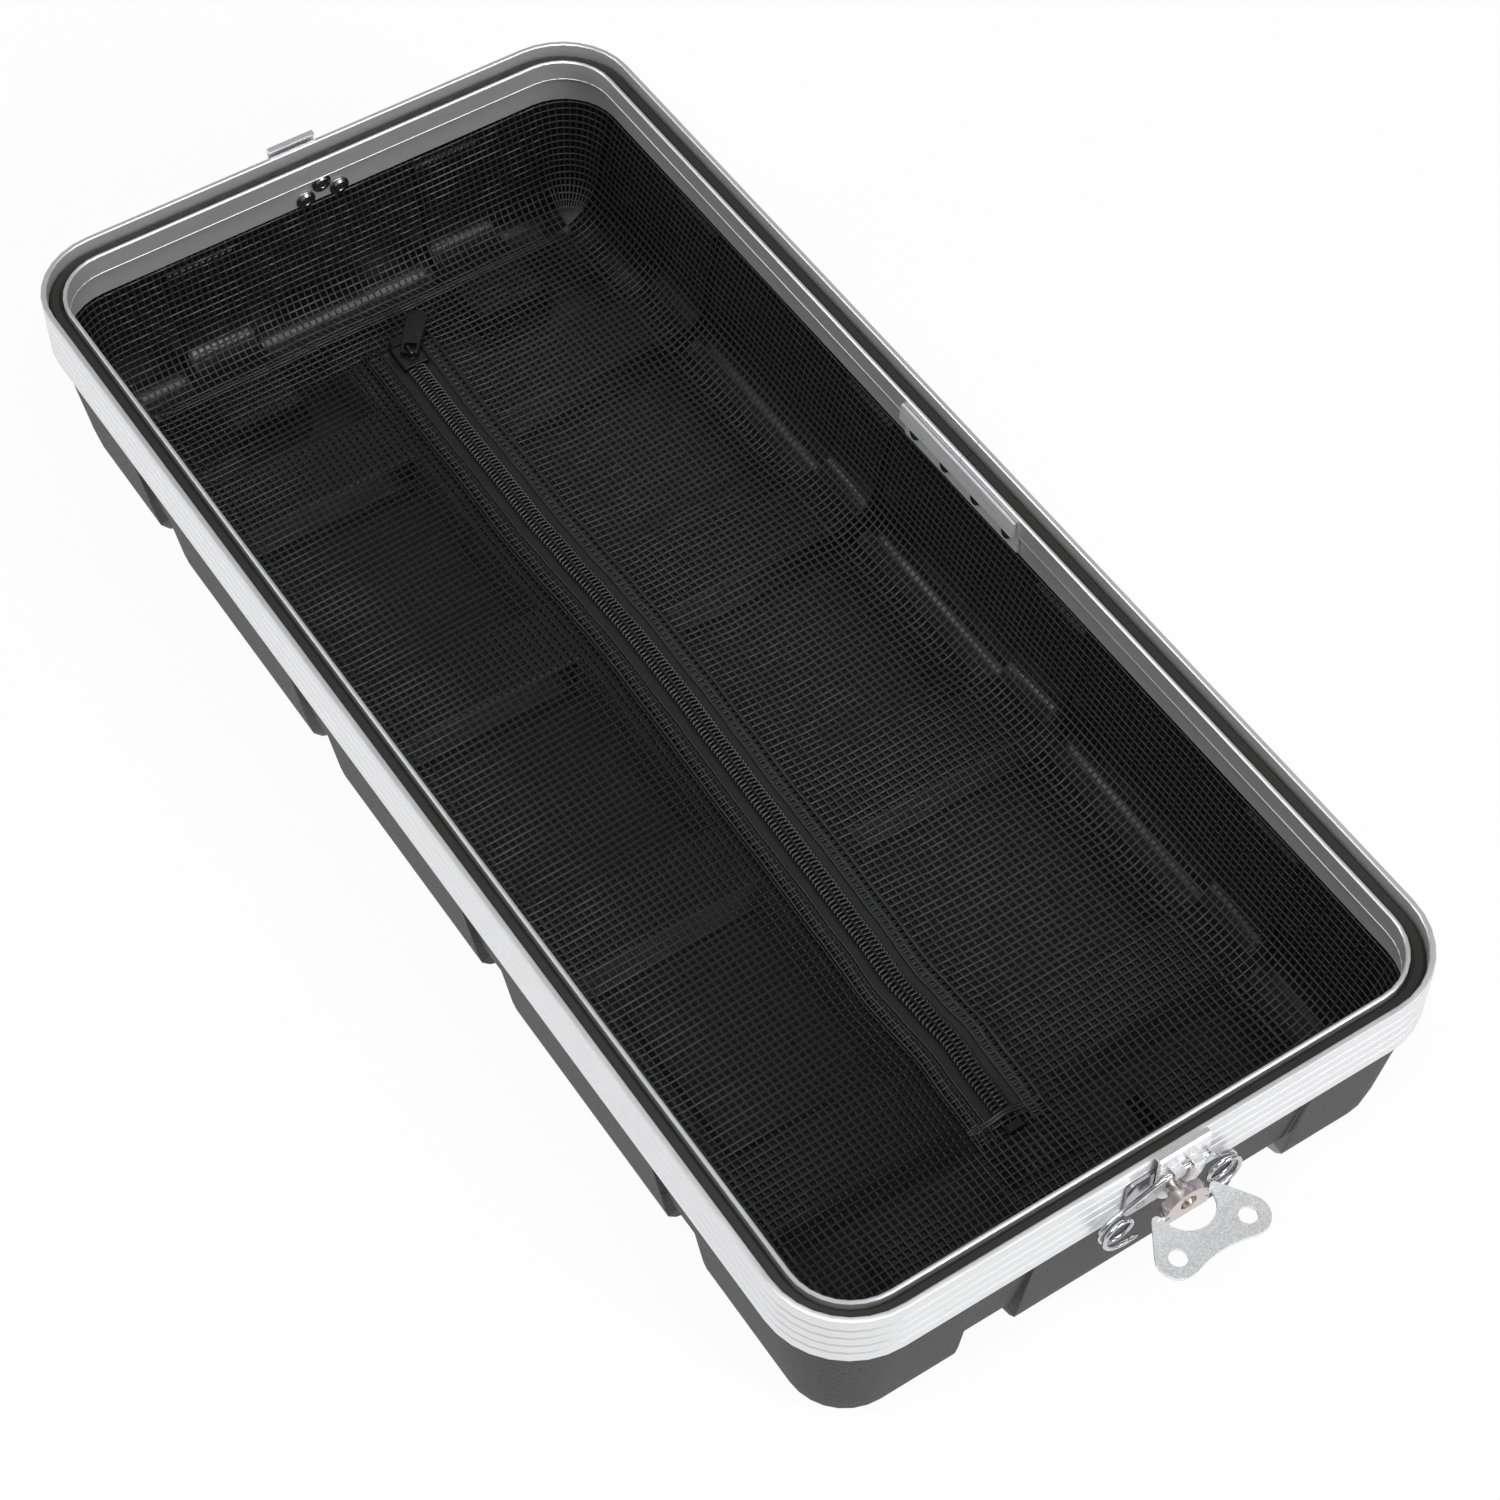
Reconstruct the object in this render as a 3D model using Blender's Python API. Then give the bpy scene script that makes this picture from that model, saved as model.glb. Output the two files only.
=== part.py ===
"""Lift-off cover of a rack case, lying open side up.

A moulded tray with pads and channels is gripped by an extruded aluminium frame.
The frame's two ends meet over a riveted splice bar. Each short end carries a
rotary latch: a riveted base, a cam that turns on a rivet, a hook carried on the
cam's offset hub, a wire spring and a folding butterfly wing. A mesh liner with a
lengthwise zip covers the inside. Metres, +Z up.
"""

import math

import bmesh
import bpy
from mathutils import Matrix, Vector

# Overall sizes, taken over the frame's outer band.
case_length = 0.560
case_width = 0.262
lip_height = 0.087
frame_corner_radius = 0.032

# Clearances.
seat_gap = 0.0003
running_gap = 0.0002
cut_overrun = 0.004
joint_slit = 0.0003

# Frame extrusion, as drops below the lip's top and insets from the outer face.
rim_rise = 0.0029
rim_round = 0.0008
band_drop = 0.0224
band_wall = 0.0023
reed_count = 5
reed_groove_depth = 0.0004
reed_groove_width = 0.0012
groove_drop = 0.0075
groove_width = 0.0059
lip_thickness = 0.0016
lip_round = 0.0005
web_thickness = 0.0014
step_thickness = 0.0004
clamp_wall = 0.0014
clamp_drop = 0.0221
frame_corner_steps = 8

# Gasket bead in the frame's groove.
gasket_top_drop = 0.0019
gasket_shoulder = 0.0014

# Moulded tray.
shell_wall = 0.0030
taper_drop = 0.0240
wall_taper = 0.0065
pad_fillet = 0.0170
channel_depth = 0.0120
channel_wall_depth = 0.0012
channel_fillet = 0.0140
channel_draft_share = 0.20
cross_rib_count = 4
cross_rib_width = 0.0295
cross_rib_margin = 0.0940
spine_rib_width = 0.0400
spine_margin = 0.0420
end_rib_width = 0.0300
end_rib_margin = 0.0740
end_rib_length = 0.0570
channel_top_drop = 0.0280
tray_corner_steps = 7
tray_fillet_steps = 4

# Bare recess for a name plate, under one pad near the +X end.
plate_recess_length = 0.0620
plate_recess_width = 0.0380
plate_recess_depth = 0.0030
plate_recess_shift = 0.0050
plate_recess_margin = 0.0650

# Mesh liner.
liner_gap = 0.0004
liner_thickness = 0.0008
liner_corner_steps = 6
liner_fillet_steps = 4
liner_slot_width = 0.0090
liner_slot_overrun = 0.0090

# Splice bar behind the frame's joint.
splice_length = 0.0720
splice_thickness = 0.0012
splice_top_drop = 0.0030
splice_bottom_drop = 0.0203
splice_flare = 0.0007
splice_rivet_pitch = 0.0196
splice_rivet_drop = 0.0150
splice_rivet_count = 4

# Rivets.
rivet_shank_radius = 0.0016
rivet_head_radius = 0.0026
rivet_head_height = 0.0012
rivet_brow_share = 0.87
rivet_steps = 12
latch_rivet_spread = 0.0077
latch_rivet_low_drop = 0.0194
latch_rivet_high_drop = 0.0141

# Zip along the liner's spine.
zip_skew = math.radians(-1.0)
zip_shift_y = 0.0002
zip_far_margin = 0.0155
zip_near_margin = 0.0285
tape_width = 0.0074
tape_thickness = 0.0006
chain_width = 0.0070
chain_height = 0.0023
chain_crown_share = 0.45
slider_length = 0.0125
slider_width = 0.0112
slider_roof = 0.0013
slider_skirt = 0.0010
arch_length = 0.0055
arch_width = 0.0014
arch_bar = 0.00085
arch_clear = 0.0028
pull_length = 0.0235
pull_root_width = 0.0076
pull_tip_width = 0.0090
pull_thickness = 0.0012
pull_window_length = 0.0040
pull_window_width = 0.0050
pull_bar = 0.0017
pull_skew = math.radians(-38.0)
stop_length = 0.0035
stop_width = 0.0080
stop_height = 0.0026
stop_gap = 0.0020
patch_length = 0.0180
patch_width = 0.0320

# Latch, in its own frame: x out from the band, y to the right, z from the lip's top.
base_half_width = 0.0143
base_top_drop = 0.0032
base_sheet = 0.0012
base_corner = 0.0030
pivot_y = 0.0045
pivot_drop = 0.0161
hub_offset_y = 0.0024
hub_offset_z = 0.0032
hub_radius = 0.0060
neck_radius = 0.0039
pin_radius = 0.0015
disc_radius = 0.0090
disc_drop = 0.0029
disc_chord = 0.0040
disc_thickness = 0.0040
disc_face_x = 0.0108
round_steps = 24
countersink_radius = 0.0033
countersink_depth = 0.0009
cam_head_radius = 0.0024
cam_head_height = 0.0017
hook_sheet = 0.0015
hook_half_width = 0.01025
hook_top_rise = 0.0052
hook_lip_reach = 0.0029
hook_bend_radius = 0.0009
tab_width = 0.0042
tab_spacing = 0.0076
tab_sheet = 0.0006
wire_radius = 0.0010
wire_bar_drop = 0.0040
wire_bar_half = 0.0080
coil_radius = 0.0062
coil_drop = 0.0210
coil_left_y = -0.0194
coil_right_y = 0.0240
coil_turns = 1.5
coil_pitch = 0.0026
coil_back_x = 0.00275
coil_points = 10
tail_length = 0.0080
leg_sweep = 0.0110
leg_points = 6
wing_sheet = 0.0014
wing_axis_inset = 0.0009
wing_hole_radius = 0.0098
wing_ear_radius = 0.0019
wing_lobe_y = 0.0142
wing_lobe_out = 0.0141
wing_lobe_radius = 0.0076
wing_waist_out = 0.0195
wing_small_hole = 0.0033
wing_pin_radius = 0.0008
wing_pin_reach = 0.0022
wing_pin_bore = 0.0011
near_wing_angle = 0.0
far_wing_angle = math.radians(90.0)

half_length = case_length / 2
half_width = case_width / 2
cross_rib_pitch = (case_length - 2 * cross_rib_margin) / (cross_rib_count - 1)
spine_length = case_length - 2 * spine_margin
end_rib_inner_x = half_length - end_rib_length
end_rib_y = half_width - end_rib_margin
plate_recess_x = cross_rib_pitch + plate_recess_shift
plate_recess_y = plate_recess_margin - half_width
tape_length = spine_length - zip_far_margin - zip_near_margin
zip_shift_x = (zip_far_margin - zip_near_margin) / 2
clamp_inset = band_wall + seat_gap + shell_wall + seat_gap
lip_inset = band_wall + groove_width
zip_floor = channel_depth + shell_wall + liner_gap + liner_thickness
disc_back_x = disc_face_x - disc_thickness
wing_axis_x = disc_face_x - wing_axis_inset
near_reach = wing_axis_x + wing_lobe_out + wing_lobe_radius
far_reach = disc_face_x - countersink_depth + seat_gap + cam_head_height
tray_shift_x = -(near_reach - far_reach) / 2


def clear_objects():
    """Remove every object, so that the script can run again in the same file."""
    for item in list(bpy.data.objects):
        bpy.data.objects.remove(item, do_unlink=True)


def make_material(name, colour, roughness, metallic):
    """One Principled material."""
    material = bpy.data.materials.new(name)
    material.use_nodes = True
    shader = material.node_tree.nodes["Principled BSDF"]
    shader.inputs["Base Color"].default_value = (*colour, 1.0)
    shader.inputs["Roughness"].default_value = roughness
    shader.inputs["Metallic"].default_value = metallic
    material.diffuse_color = (*colour, 1.0)
    return material


def add_object(name, mesh, material=None, parent=None):
    """Link a mesh as an object, under an optional parent."""
    item = bpy.data.objects.new(name, mesh)
    bpy.context.scene.collection.objects.link(item)
    if material is not None and not mesh.materials:
        mesh.materials.append(material)
    item.parent = parent
    return item


def add_empty(name, location, turn_z=0.0, parent=None):
    """A frame of reference for the pieces that sit on it."""
    item = bpy.data.objects.new(name, None)
    item.location = location
    item.rotation_euler = (0.0, 0.0, turn_z)
    bpy.context.scene.collection.objects.link(item)
    item.parent = parent
    return item


def mesh_from(name, points, faces):
    """A mesh from points and faces, with its faces pointing out."""
    build = bmesh.new()
    corners = [build.verts.new(point) for point in points]
    for face in faces:
        build.faces.new([corners[index] for index in face])
    bmesh.ops.recalc_face_normals(build, faces=build.faces)
    mesh = bpy.data.meshes.new(name)
    build.to_mesh(mesh)
    build.free()
    return mesh


def loft_mesh(name, rings, closed=False):
    """Skin rings of equal length. An open loft gets flat end caps."""
    size = len(rings[0])
    points = [point for ring in rings for point in ring]
    faces = []
    spans = len(rings) if closed else len(rings) - 1
    for span in range(spans):
        near = span * size
        far = ((span + 1) % len(rings)) * size
        for index in range(size):
            after = (index + 1) % size
            faces.append((near + index, near + after, far + after, far + index))
    if not closed:
        faces.append(tuple(range(size)))
        faces.append(tuple(len(points) - size + index for index in range(size)))
    return mesh_from(name, points, faces)


def prism_mesh(name, outline, low, high, axis):
    """Extrude an outline along one axis. The outline's two numbers follow in cyclic order."""
    rings = []
    for level in (low, high):
        ring = []
        for first, second in outline:
            if axis == "x":
                ring.append((level, first, second))
            elif axis == "y":
                ring.append((first, level, second))
            else:
                ring.append((first, second, level))
        rings.append(ring)
    return loft_mesh(name, rings)


def circle(centre, radius, steps):
    """Points round a circle."""
    turns = [2 * math.pi * step / steps for step in range(steps)]
    return [(centre[0] + radius * math.cos(turn), centre[1] + radius * math.sin(turn)) for turn in turns]


def arc(centre, radius, start, end, steps):
    """Points along an arc, both ends included. Angles in radians."""
    turns = [start + (end - start) * step / steps for step in range(steps + 1)]
    return [(centre[0] + radius * math.cos(turn), centre[1] + radius * math.sin(turn)) for turn in turns]


def shade_round(mesh, sharp_degrees=32.0):
    """Smooth shading with sharp edges kept."""
    mesh.shade_smooth()
    mesh.set_sharp_from_angle(angle=math.radians(sharp_degrees))


def combine(body, tool, operation):
    """Apply an exact Boolean to the body's mesh and drop the tool."""
    modifier = body.modifiers.new("combine", "BOOLEAN")
    modifier.operation = operation
    modifier.solver = "EXACT"
    modifier.object = tool
    bpy.context.view_layer.update()
    graph = bpy.context.evaluated_depsgraph_get()
    result = bpy.data.meshes.new_from_object(body.evaluated_get(graph))
    body.modifiers.clear()
    body.data = result
    bpy.data.objects.remove(tool, do_unlink=True)
    return body


def tidy_mesh(item):
    """Weld stray points and merge flat neighbours that a Boolean left behind."""
    build = bmesh.new()
    build.from_mesh(item.data)
    bmesh.ops.remove_doubles(build, verts=build.verts, dist=seat_gap / 30)
    bmesh.ops.dissolve_limit(
        build,
        angle_limit=math.radians(0.4),
        verts=build.verts,
        edges=build.edges,
        delimit={"NORMAL"},
    )
    build.to_mesh(item.data)
    build.free()


def rounded_ring(inset, z, steps):
    """A rounded rectangle inside the frame's outline, at one height."""
    radius = frame_corner_radius - inset
    span_x = half_length - frame_corner_radius
    span_y = half_width - frame_corner_radius
    ring = []
    corners = ((1, 1, 0.0), (-1, 1, 0.5), (-1, -1, 1.0), (1, -1, 1.5))
    for sign_x, sign_y, start in corners:
        centre = (sign_x * span_x, sign_y * span_y)
        for x, y in arc(centre, radius, start * math.pi, (start + 0.5) * math.pi, steps):
            ring.append((x, y, z))
    return ring


def sweep_frame(name, section, material, parent):
    """Sweep a section of (inset, height) points round the frame, open at the joint."""
    span_x = half_length - frame_corner_radius
    span_y = half_width - frame_corner_radius
    stations = [((joint_slit / 2, span_y), math.pi / 2)]
    for sign_x, sign_y, start in ((1, 1, 0.5), (1, -1, 0.0), (-1, -1, -0.5), (-1, 1, -1.0)):
        for step in range(frame_corner_steps + 1):
            turn = (start - 0.5 * step / frame_corner_steps) * math.pi
            stations.append(((sign_x * span_x, sign_y * span_y), turn))
    stations.append(((-joint_slit / 2, span_y), -1.5 * math.pi))
    rings = []
    for (x, y), turn in stations:
        ring = []
        for inset, z in section:
            reach = frame_corner_radius - inset
            ring.append((x + reach * math.cos(turn), y + reach * math.sin(turn), z))
        rings.append(ring)
    mesh = loft_mesh(name, rings)
    shade_round(mesh)
    return add_object(name, mesh, material, parent)


def frame_section():
    """The extrusion's section: reeded band, rounded rim, gasket groove, lip and clamp wall."""
    top = lip_height + rim_rise
    bottom = lip_height - band_drop
    groove_floor = lip_height - groove_drop
    step_level = groove_floor - web_thickness - step_thickness
    web_under = groove_floor - web_thickness
    points = [(0.0, bottom)]
    reed_pitch = (top - rim_round - bottom) / reed_count
    for index in range(1, reed_count):
        middle = bottom + index * reed_pitch
        points.append((0.0, middle - reed_groove_width / 2))
        points.append((reed_groove_depth, middle))
        points.append((0.0, middle + reed_groove_width / 2))
    points += [(0.0, top - rim_round), (rim_round / 3, top - rim_round / 3), (rim_round, top)]
    points += [(band_wall - rim_round / 2, top), (band_wall, top - rim_round / 2)]
    points += [(band_wall, groove_floor), (lip_inset, groove_floor)]
    points += [(lip_inset, lip_height - lip_round), (lip_inset + lip_round, lip_height)]
    points += [(lip_inset + lip_thickness - lip_round, lip_height)]
    points += [(lip_inset + lip_thickness, lip_height - lip_round), (lip_inset + lip_thickness, step_level)]
    points += [(clamp_inset + clamp_wall, step_level), (clamp_inset + clamp_wall, lip_height - clamp_drop)]
    points += [(clamp_inset, lip_height - clamp_drop), (clamp_inset, web_under)]
    points += [(band_wall, web_under), (band_wall, bottom)]
    return points


def gasket_section():
    """The rubber bead: flat foot, round shoulders."""
    outer = band_wall + seat_gap
    inner = lip_inset - seat_gap
    foot = lip_height - groove_drop + seat_gap
    crown = lip_height - gasket_top_drop
    shoulder = crown - gasket_shoulder
    points = [(outer, foot), (outer, shoulder), (outer + gasket_shoulder, crown)]
    points += [(inner - gasket_shoulder, crown), (inner, shoulder), (inner, foot)]
    return points


def tray_loft(name, offset, wall_depth, depth, fillet, top, steps):
    """A solid tray shape, offset inwards, from its underside up to the given height."""
    corner_steps, fillet_steps = steps
    start_inset = band_wall + seat_gap + wall_depth + offset
    end_inset = start_inset + wall_taper
    round_in = fillet - offset
    bottom = depth + offset
    rings = [rounded_ring(start_inset, top, corner_steps)]
    rings.append(rounded_ring(start_inset, lip_height - taper_drop, corner_steps))
    for step in range(fillet_steps + 1):
        turn = 0.5 * math.pi * step / fillet_steps
        inset = end_inset + round_in * (1 - math.cos(turn))
        z = bottom + round_in * (1 - math.sin(turn))
        rings.append(rounded_ring(inset, z, corner_steps))
    return add_object(name, loft_mesh(name, rings))


def drafted_block(name, low_x, high_x, low_y, high_y, level, top):
    """A block with upright sides above a level and sides that open downwards below it."""
    base = -cut_overrun
    spread = channel_draft_share * (level - base)
    rings = []
    for grow, z in ((spread, base), (0.0, level), (0.0, top)):
        ring = [(low_x - grow, low_y - grow, z), (high_x + grow, low_y - grow, z)]
        ring += [(high_x + grow, high_y + grow, z), (low_x - grow, high_y + grow, z)]
        rings.append(ring)
    return add_object(name, loft_mesh(name, rings))


def channel_blocks(offset):
    """Every channel of the moulding as one solid, grown by an offset for the inner side."""
    level = channel_depth + offset
    top = lip_height - channel_top_drop
    spine_half = spine_rib_width / 2 - shell_wall + offset
    spine_end = spine_length / 2 - shell_wall + offset
    blocks = drafted_block("spine", -spine_end, spine_end, -spine_half, spine_half, level, level + cut_overrun)
    cross_half = cross_rib_width / 2 - shell_wall + offset
    reach_y = half_width + cut_overrun
    for index in range(cross_rib_count):
        middle = (index - (cross_rib_count - 1) / 2) * cross_rib_pitch
        block = drafted_block("cross", middle - cross_half, middle + cross_half, -reach_y, reach_y, level, top)
        combine(blocks, block, "UNION")
    end_half = end_rib_width / 2 - shell_wall + offset
    reach_x = half_length + cut_overrun
    inner_x = end_rib_inner_x + shell_wall - offset
    for sign_x in (-1, 1):
        near_x, far_x = sorted((sign_x * inner_x, sign_x * reach_x))
        for sign_y in (-1, 1):
            middle = sign_y * end_rib_y
            block = drafted_block("end", near_x, far_x, middle - end_half, middle + end_half, level, top)
            combine(blocks, block, "UNION")
    return blocks


def tray_solid(name, offset, top, steps):
    """The tray's outer form, offset inwards: pads at full depth, channels held back."""
    body = tray_loft(name, offset, 0.0, 0.0, pad_fillet, top, steps)
    core_top = top + cut_overrun
    core = tray_loft("core", offset, channel_wall_depth, channel_depth, channel_fillet, core_top, steps)
    blocks = channel_blocks(offset)
    combine(blocks, core, "DIFFERENCE")
    combine(body, blocks, "DIFFERENCE")
    plate_half_x = plate_recess_length / 2 + offset
    plate_half_y = plate_recess_width / 2 + offset
    plate = drafted_block(
        "plate",
        plate_recess_x - plate_half_x,
        plate_recess_x + plate_half_x,
        plate_recess_y - plate_half_y,
        plate_recess_y + plate_half_y,
        plate_recess_depth + offset - cut_overrun,
        plate_recess_depth + offset,
    )
    combine(body, plate, "DIFFERENCE")
    return body


def rivet_bore(seat, length, radius):
    """A cutter along local +X through the walls at one latch rivet."""
    mesh = prism_mesh("bore", circle((0.0, 0.0), radius, rivet_steps), -length, cut_overrun, "x")
    item = add_object("bore", mesh)
    item.matrix_world = seat
    return item


def end_seats():
    """The latch seats on the band, as turns about Z and signs along X."""
    return (("near", 1, 0.0), ("far", -1, math.pi))


def seat_matrix(sign, turn, shift_x):
    """World place of one latch seat."""
    return Matrix.Translation((shift_x + sign * half_length, 0.0, lip_height)) @ Matrix.Rotation(turn, 4, "Z")


def latch_rivet_places():
    """The three rivets of a latch, as (y, z) in the latch's frame."""
    low = -latch_rivet_low_drop
    return ((-latch_rivet_spread, low), (latch_rivet_spread, low), (0.0, -latch_rivet_high_drop))


def splice_rivet_places():
    """The splice rivets along X."""
    middle = (splice_rivet_count - 1) / 2
    return [(index - middle) * splice_rivet_pitch for index in range(splice_rivet_count)]


def cut_rivet_bores(item):
    """Drill the latch and splice rivets through a body that is still at the centre."""
    radius = rivet_shank_radius + running_gap
    for _, sign, turn in end_seats():
        for y, z in latch_rivet_places():
            place = seat_matrix(sign, turn, 0.0) @ Matrix.Translation((0.0, y, z))
            combine(item, rivet_bore(place, clamp_inset + clamp_wall + cut_overrun, radius), "DIFFERENCE")


def cut_splice_bores(item, depth):
    """Drill the splice rivets from inside, outwards to a depth below the band's face."""
    radius = rivet_shank_radius + running_gap
    for x in splice_rivet_places():
        outline = circle((x, lip_height - splice_rivet_drop), radius, rivet_steps)
        mesh = prism_mesh("bore", outline, half_width - lip_inset - cut_overrun, half_width - depth, "y")
        combine(item, add_object("bore", mesh), "DIFFERENCE")


def build_shell(materials, tray):
    """The moulded tray, drilled for the rivets."""
    steps = (tray_corner_steps, tray_fillet_steps)
    top = lip_height - groove_drop - web_thickness - seat_gap
    shell = tray_solid("shell", 0.0, top, steps)
    cavity = tray_solid("cavity", shell_wall, top + cut_overrun, steps)
    combine(shell, cavity, "DIFFERENCE")
    cut_rivet_bores(shell)
    cut_splice_bores(shell, band_wall)
    tidy_mesh(shell)
    shade_round(shell.data)
    shell.data.materials.append(materials["shell"])
    shell.parent = tray


def build_frame(materials, tray):
    """The aluminium frame, its gasket and the splice bar."""
    frame = sweep_frame("frame_extrusion", frame_section(), materials["aluminium"], tray)
    frame.parent = None
    cut_rivet_bores(frame)
    cut_splice_bores(frame, clamp_inset - seat_gap)
    shade_round(frame.data)
    frame.parent = tray
    sweep_frame("gasket", gasket_section(), materials["rubber"], tray)


def build_splice(materials, tray):
    """The bar that bridges the frame's joint, and its rivets."""
    wall_face = clamp_inset + clamp_wall
    lip_face = lip_inset + lip_thickness
    step_level = lip_height - groove_drop - web_thickness - step_thickness
    back = wall_face + seat_gap
    upper = lip_face + seat_gap
    top = lip_height - splice_top_drop
    bottom = lip_height - splice_bottom_drop
    shelf = step_level - seat_gap
    insets = [(upper, top), (upper, shelf), (back, shelf), (back, bottom)]
    insets += [(back + splice_thickness, bottom), (back + splice_thickness, shelf - splice_thickness)]
    insets += [(upper + splice_thickness + splice_flare, shelf - splice_thickness / 2)]
    insets += [(upper + splice_thickness + splice_flare, shelf + splice_thickness / 2)]
    insets += [(upper + splice_thickness, top)]
    rings = []
    for x in (-splice_length / 2, splice_length / 2):
        rings.append([(x, half_width - inset, z) for inset, z in insets])
    bar = add_object("splice_plate", loft_mesh("splice_plate", rings), materials["splice"])
    radius = rivet_shank_radius + running_gap
    rivet_z = lip_height - splice_rivet_drop
    face_y = half_width - back - splice_thickness
    for x in splice_rivet_places():
        mesh = prism_mesh("bore", circle((x, rivet_z), radius, rivet_steps), face_y - cut_overrun,
                          half_width - wall_face, "y")
        combine(bar, add_object("bore", mesh), "DIFFERENCE")
    bar.parent = tray
    rivet = rivet_mesh(rivet_head_height, face_y - seat_gap, half_width - band_wall - seat_gap)
    for index, x in enumerate(splice_rivet_places()):
        item = add_object("splice_rivet_" + str(index + 1), rivet, materials["rivet"], tray)
        item.location = (x, 0.0, rivet_z)


def rivet_mesh(head_height, head_foot, tail):
    """A domed rivet along +Y: head from its foot inwards, shank out to the tail."""
    head_top = head_foot - head_height
    brow = rivet_head_radius * rivet_brow_share
    levels = ((rivet_head_radius / 2, head_top), (brow, head_top + head_height / 3))
    levels += ((rivet_head_radius, head_foot), (rivet_shank_radius, head_foot), (rivet_shank_radius, tail))
    rings = []
    for radius, level in levels:
        rings.append([(x, level, z) for x, z in circle((0.0, 0.0), radius, rivet_steps)])
    mesh = loft_mesh("rivet", rings)
    shade_round(mesh)
    return mesh


def build_liner(materials, tray):
    """The mesh liner: a bag stretched flat over the tray's ribs, slotted under the zip."""
    steps = (liner_corner_steps, liner_fillet_steps)
    top = lip_height - clamp_drop - seat_gap
    form = (channel_wall_depth, channel_depth, channel_fillet)
    offset = shell_wall + liner_gap
    liner = tray_loft("mesh_liner", offset, *form, top, steps)
    hollow = tray_loft("hollow", offset + liner_thickness, *form, top + cut_overrun, steps)
    combine(liner, hollow, "DIFFERENCE")
    half_x = tape_length / 2 + liner_slot_overrun
    half_y = liner_slot_width / 2
    outline = [(-half_x, -half_y), (half_x, -half_y), (half_x, half_y), (-half_x, half_y)]
    slot = add_object("slot", prism_mesh("slot", outline, -cut_overrun, cut_overrun, "z"))
    slot.matrix_world = zip_matrix()
    combine(liner, slot, "DIFFERENCE")
    tidy_mesh(liner)
    shade_round(liner.data)
    liner.data.materials.append(materials["mesh"])
    liner.parent = tray


def zip_matrix():
    """The zip's own frame: along its length, on the liner's spine."""
    place = Matrix.Translation((zip_shift_x, zip_shift_y, zip_floor))
    return place @ Matrix.Rotation(zip_skew, 4, "Z")


def box_mesh(name, low, high):
    """A plain box between two corners."""
    outline = [(low[0], low[1]), (high[0], low[1]), (high[0], high[1]), (low[0], high[1])]
    return prism_mesh(name, outline, low[2], high[2], "z")


def build_zip(materials, tray):
    """Tapes, chain, stops, slider, pull and the end patch."""
    line = add_empty("zip_line", (zip_shift_x, zip_shift_y, zip_floor), zip_skew, tray)
    tape_low = seat_gap
    tape_high = tape_low + tape_thickness
    chain_half = chain_width / 2
    tape_inner = chain_half + seat_gap
    half_tape = tape_length / 2
    for side, sign in (("left", -1), ("right", 1)):
        near_y, far_y = sorted((sign * tape_inner, sign * (tape_inner + tape_width)))
        mesh = box_mesh("zip_tape_" + side, (-half_tape, near_y, tape_low), (half_tape, far_y, tape_high))
        add_object("zip_tape_" + side, mesh, materials["tape"], line)
    crown = chain_half * chain_crown_share
    shoulder = tape_low + chain_height * (1 - chain_crown_share)
    chain_top = tape_low + chain_height
    outline = [(-chain_half, tape_low), (chain_half, tape_low), (chain_half, shoulder)]
    outline += [(crown, chain_top), (-crown, chain_top), (-chain_half, shoulder)]
    chain = prism_mesh("zip_chain", outline, -half_tape, half_tape, "x")
    add_object("zip_chain", chain, materials["chain"], line)
    build_slider(materials, line, tape_high, chain_top)
    build_stops(materials, line)
    patch_x = half_tape + stop_gap + stop_length + seat_gap
    patch = box_mesh("zip_end_patch", (0.0, -patch_width / 2, tape_low), (patch_length, patch_width / 2, tape_high))
    item = add_object("zip_end_patch", patch, materials["tape"], line)
    item.location = (patch_x, 0.0, 0.0)


def build_stops(materials, line):
    """The crimped stops at both ends of the chain."""
    half = stop_width / 2
    chamfer = stop_width / 6
    outline = [(-half, seat_gap), (half, seat_gap), (half, stop_height - chamfer)]
    outline += [(half - chamfer, stop_height), (chamfer - half, stop_height), (-half, stop_height - chamfer)]
    stop = prism_mesh("zip_stop", outline, -stop_length / 2, stop_length / 2, "x")
    middle = tape_length / 2 + stop_gap + stop_length / 2
    for name, sign in (("zip_stop_far", -1), ("zip_stop_near", 1)):
        item = add_object(name, stop, materials["slider"], line)
        item.location = (sign * middle, 0.0, 0.0)


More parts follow.
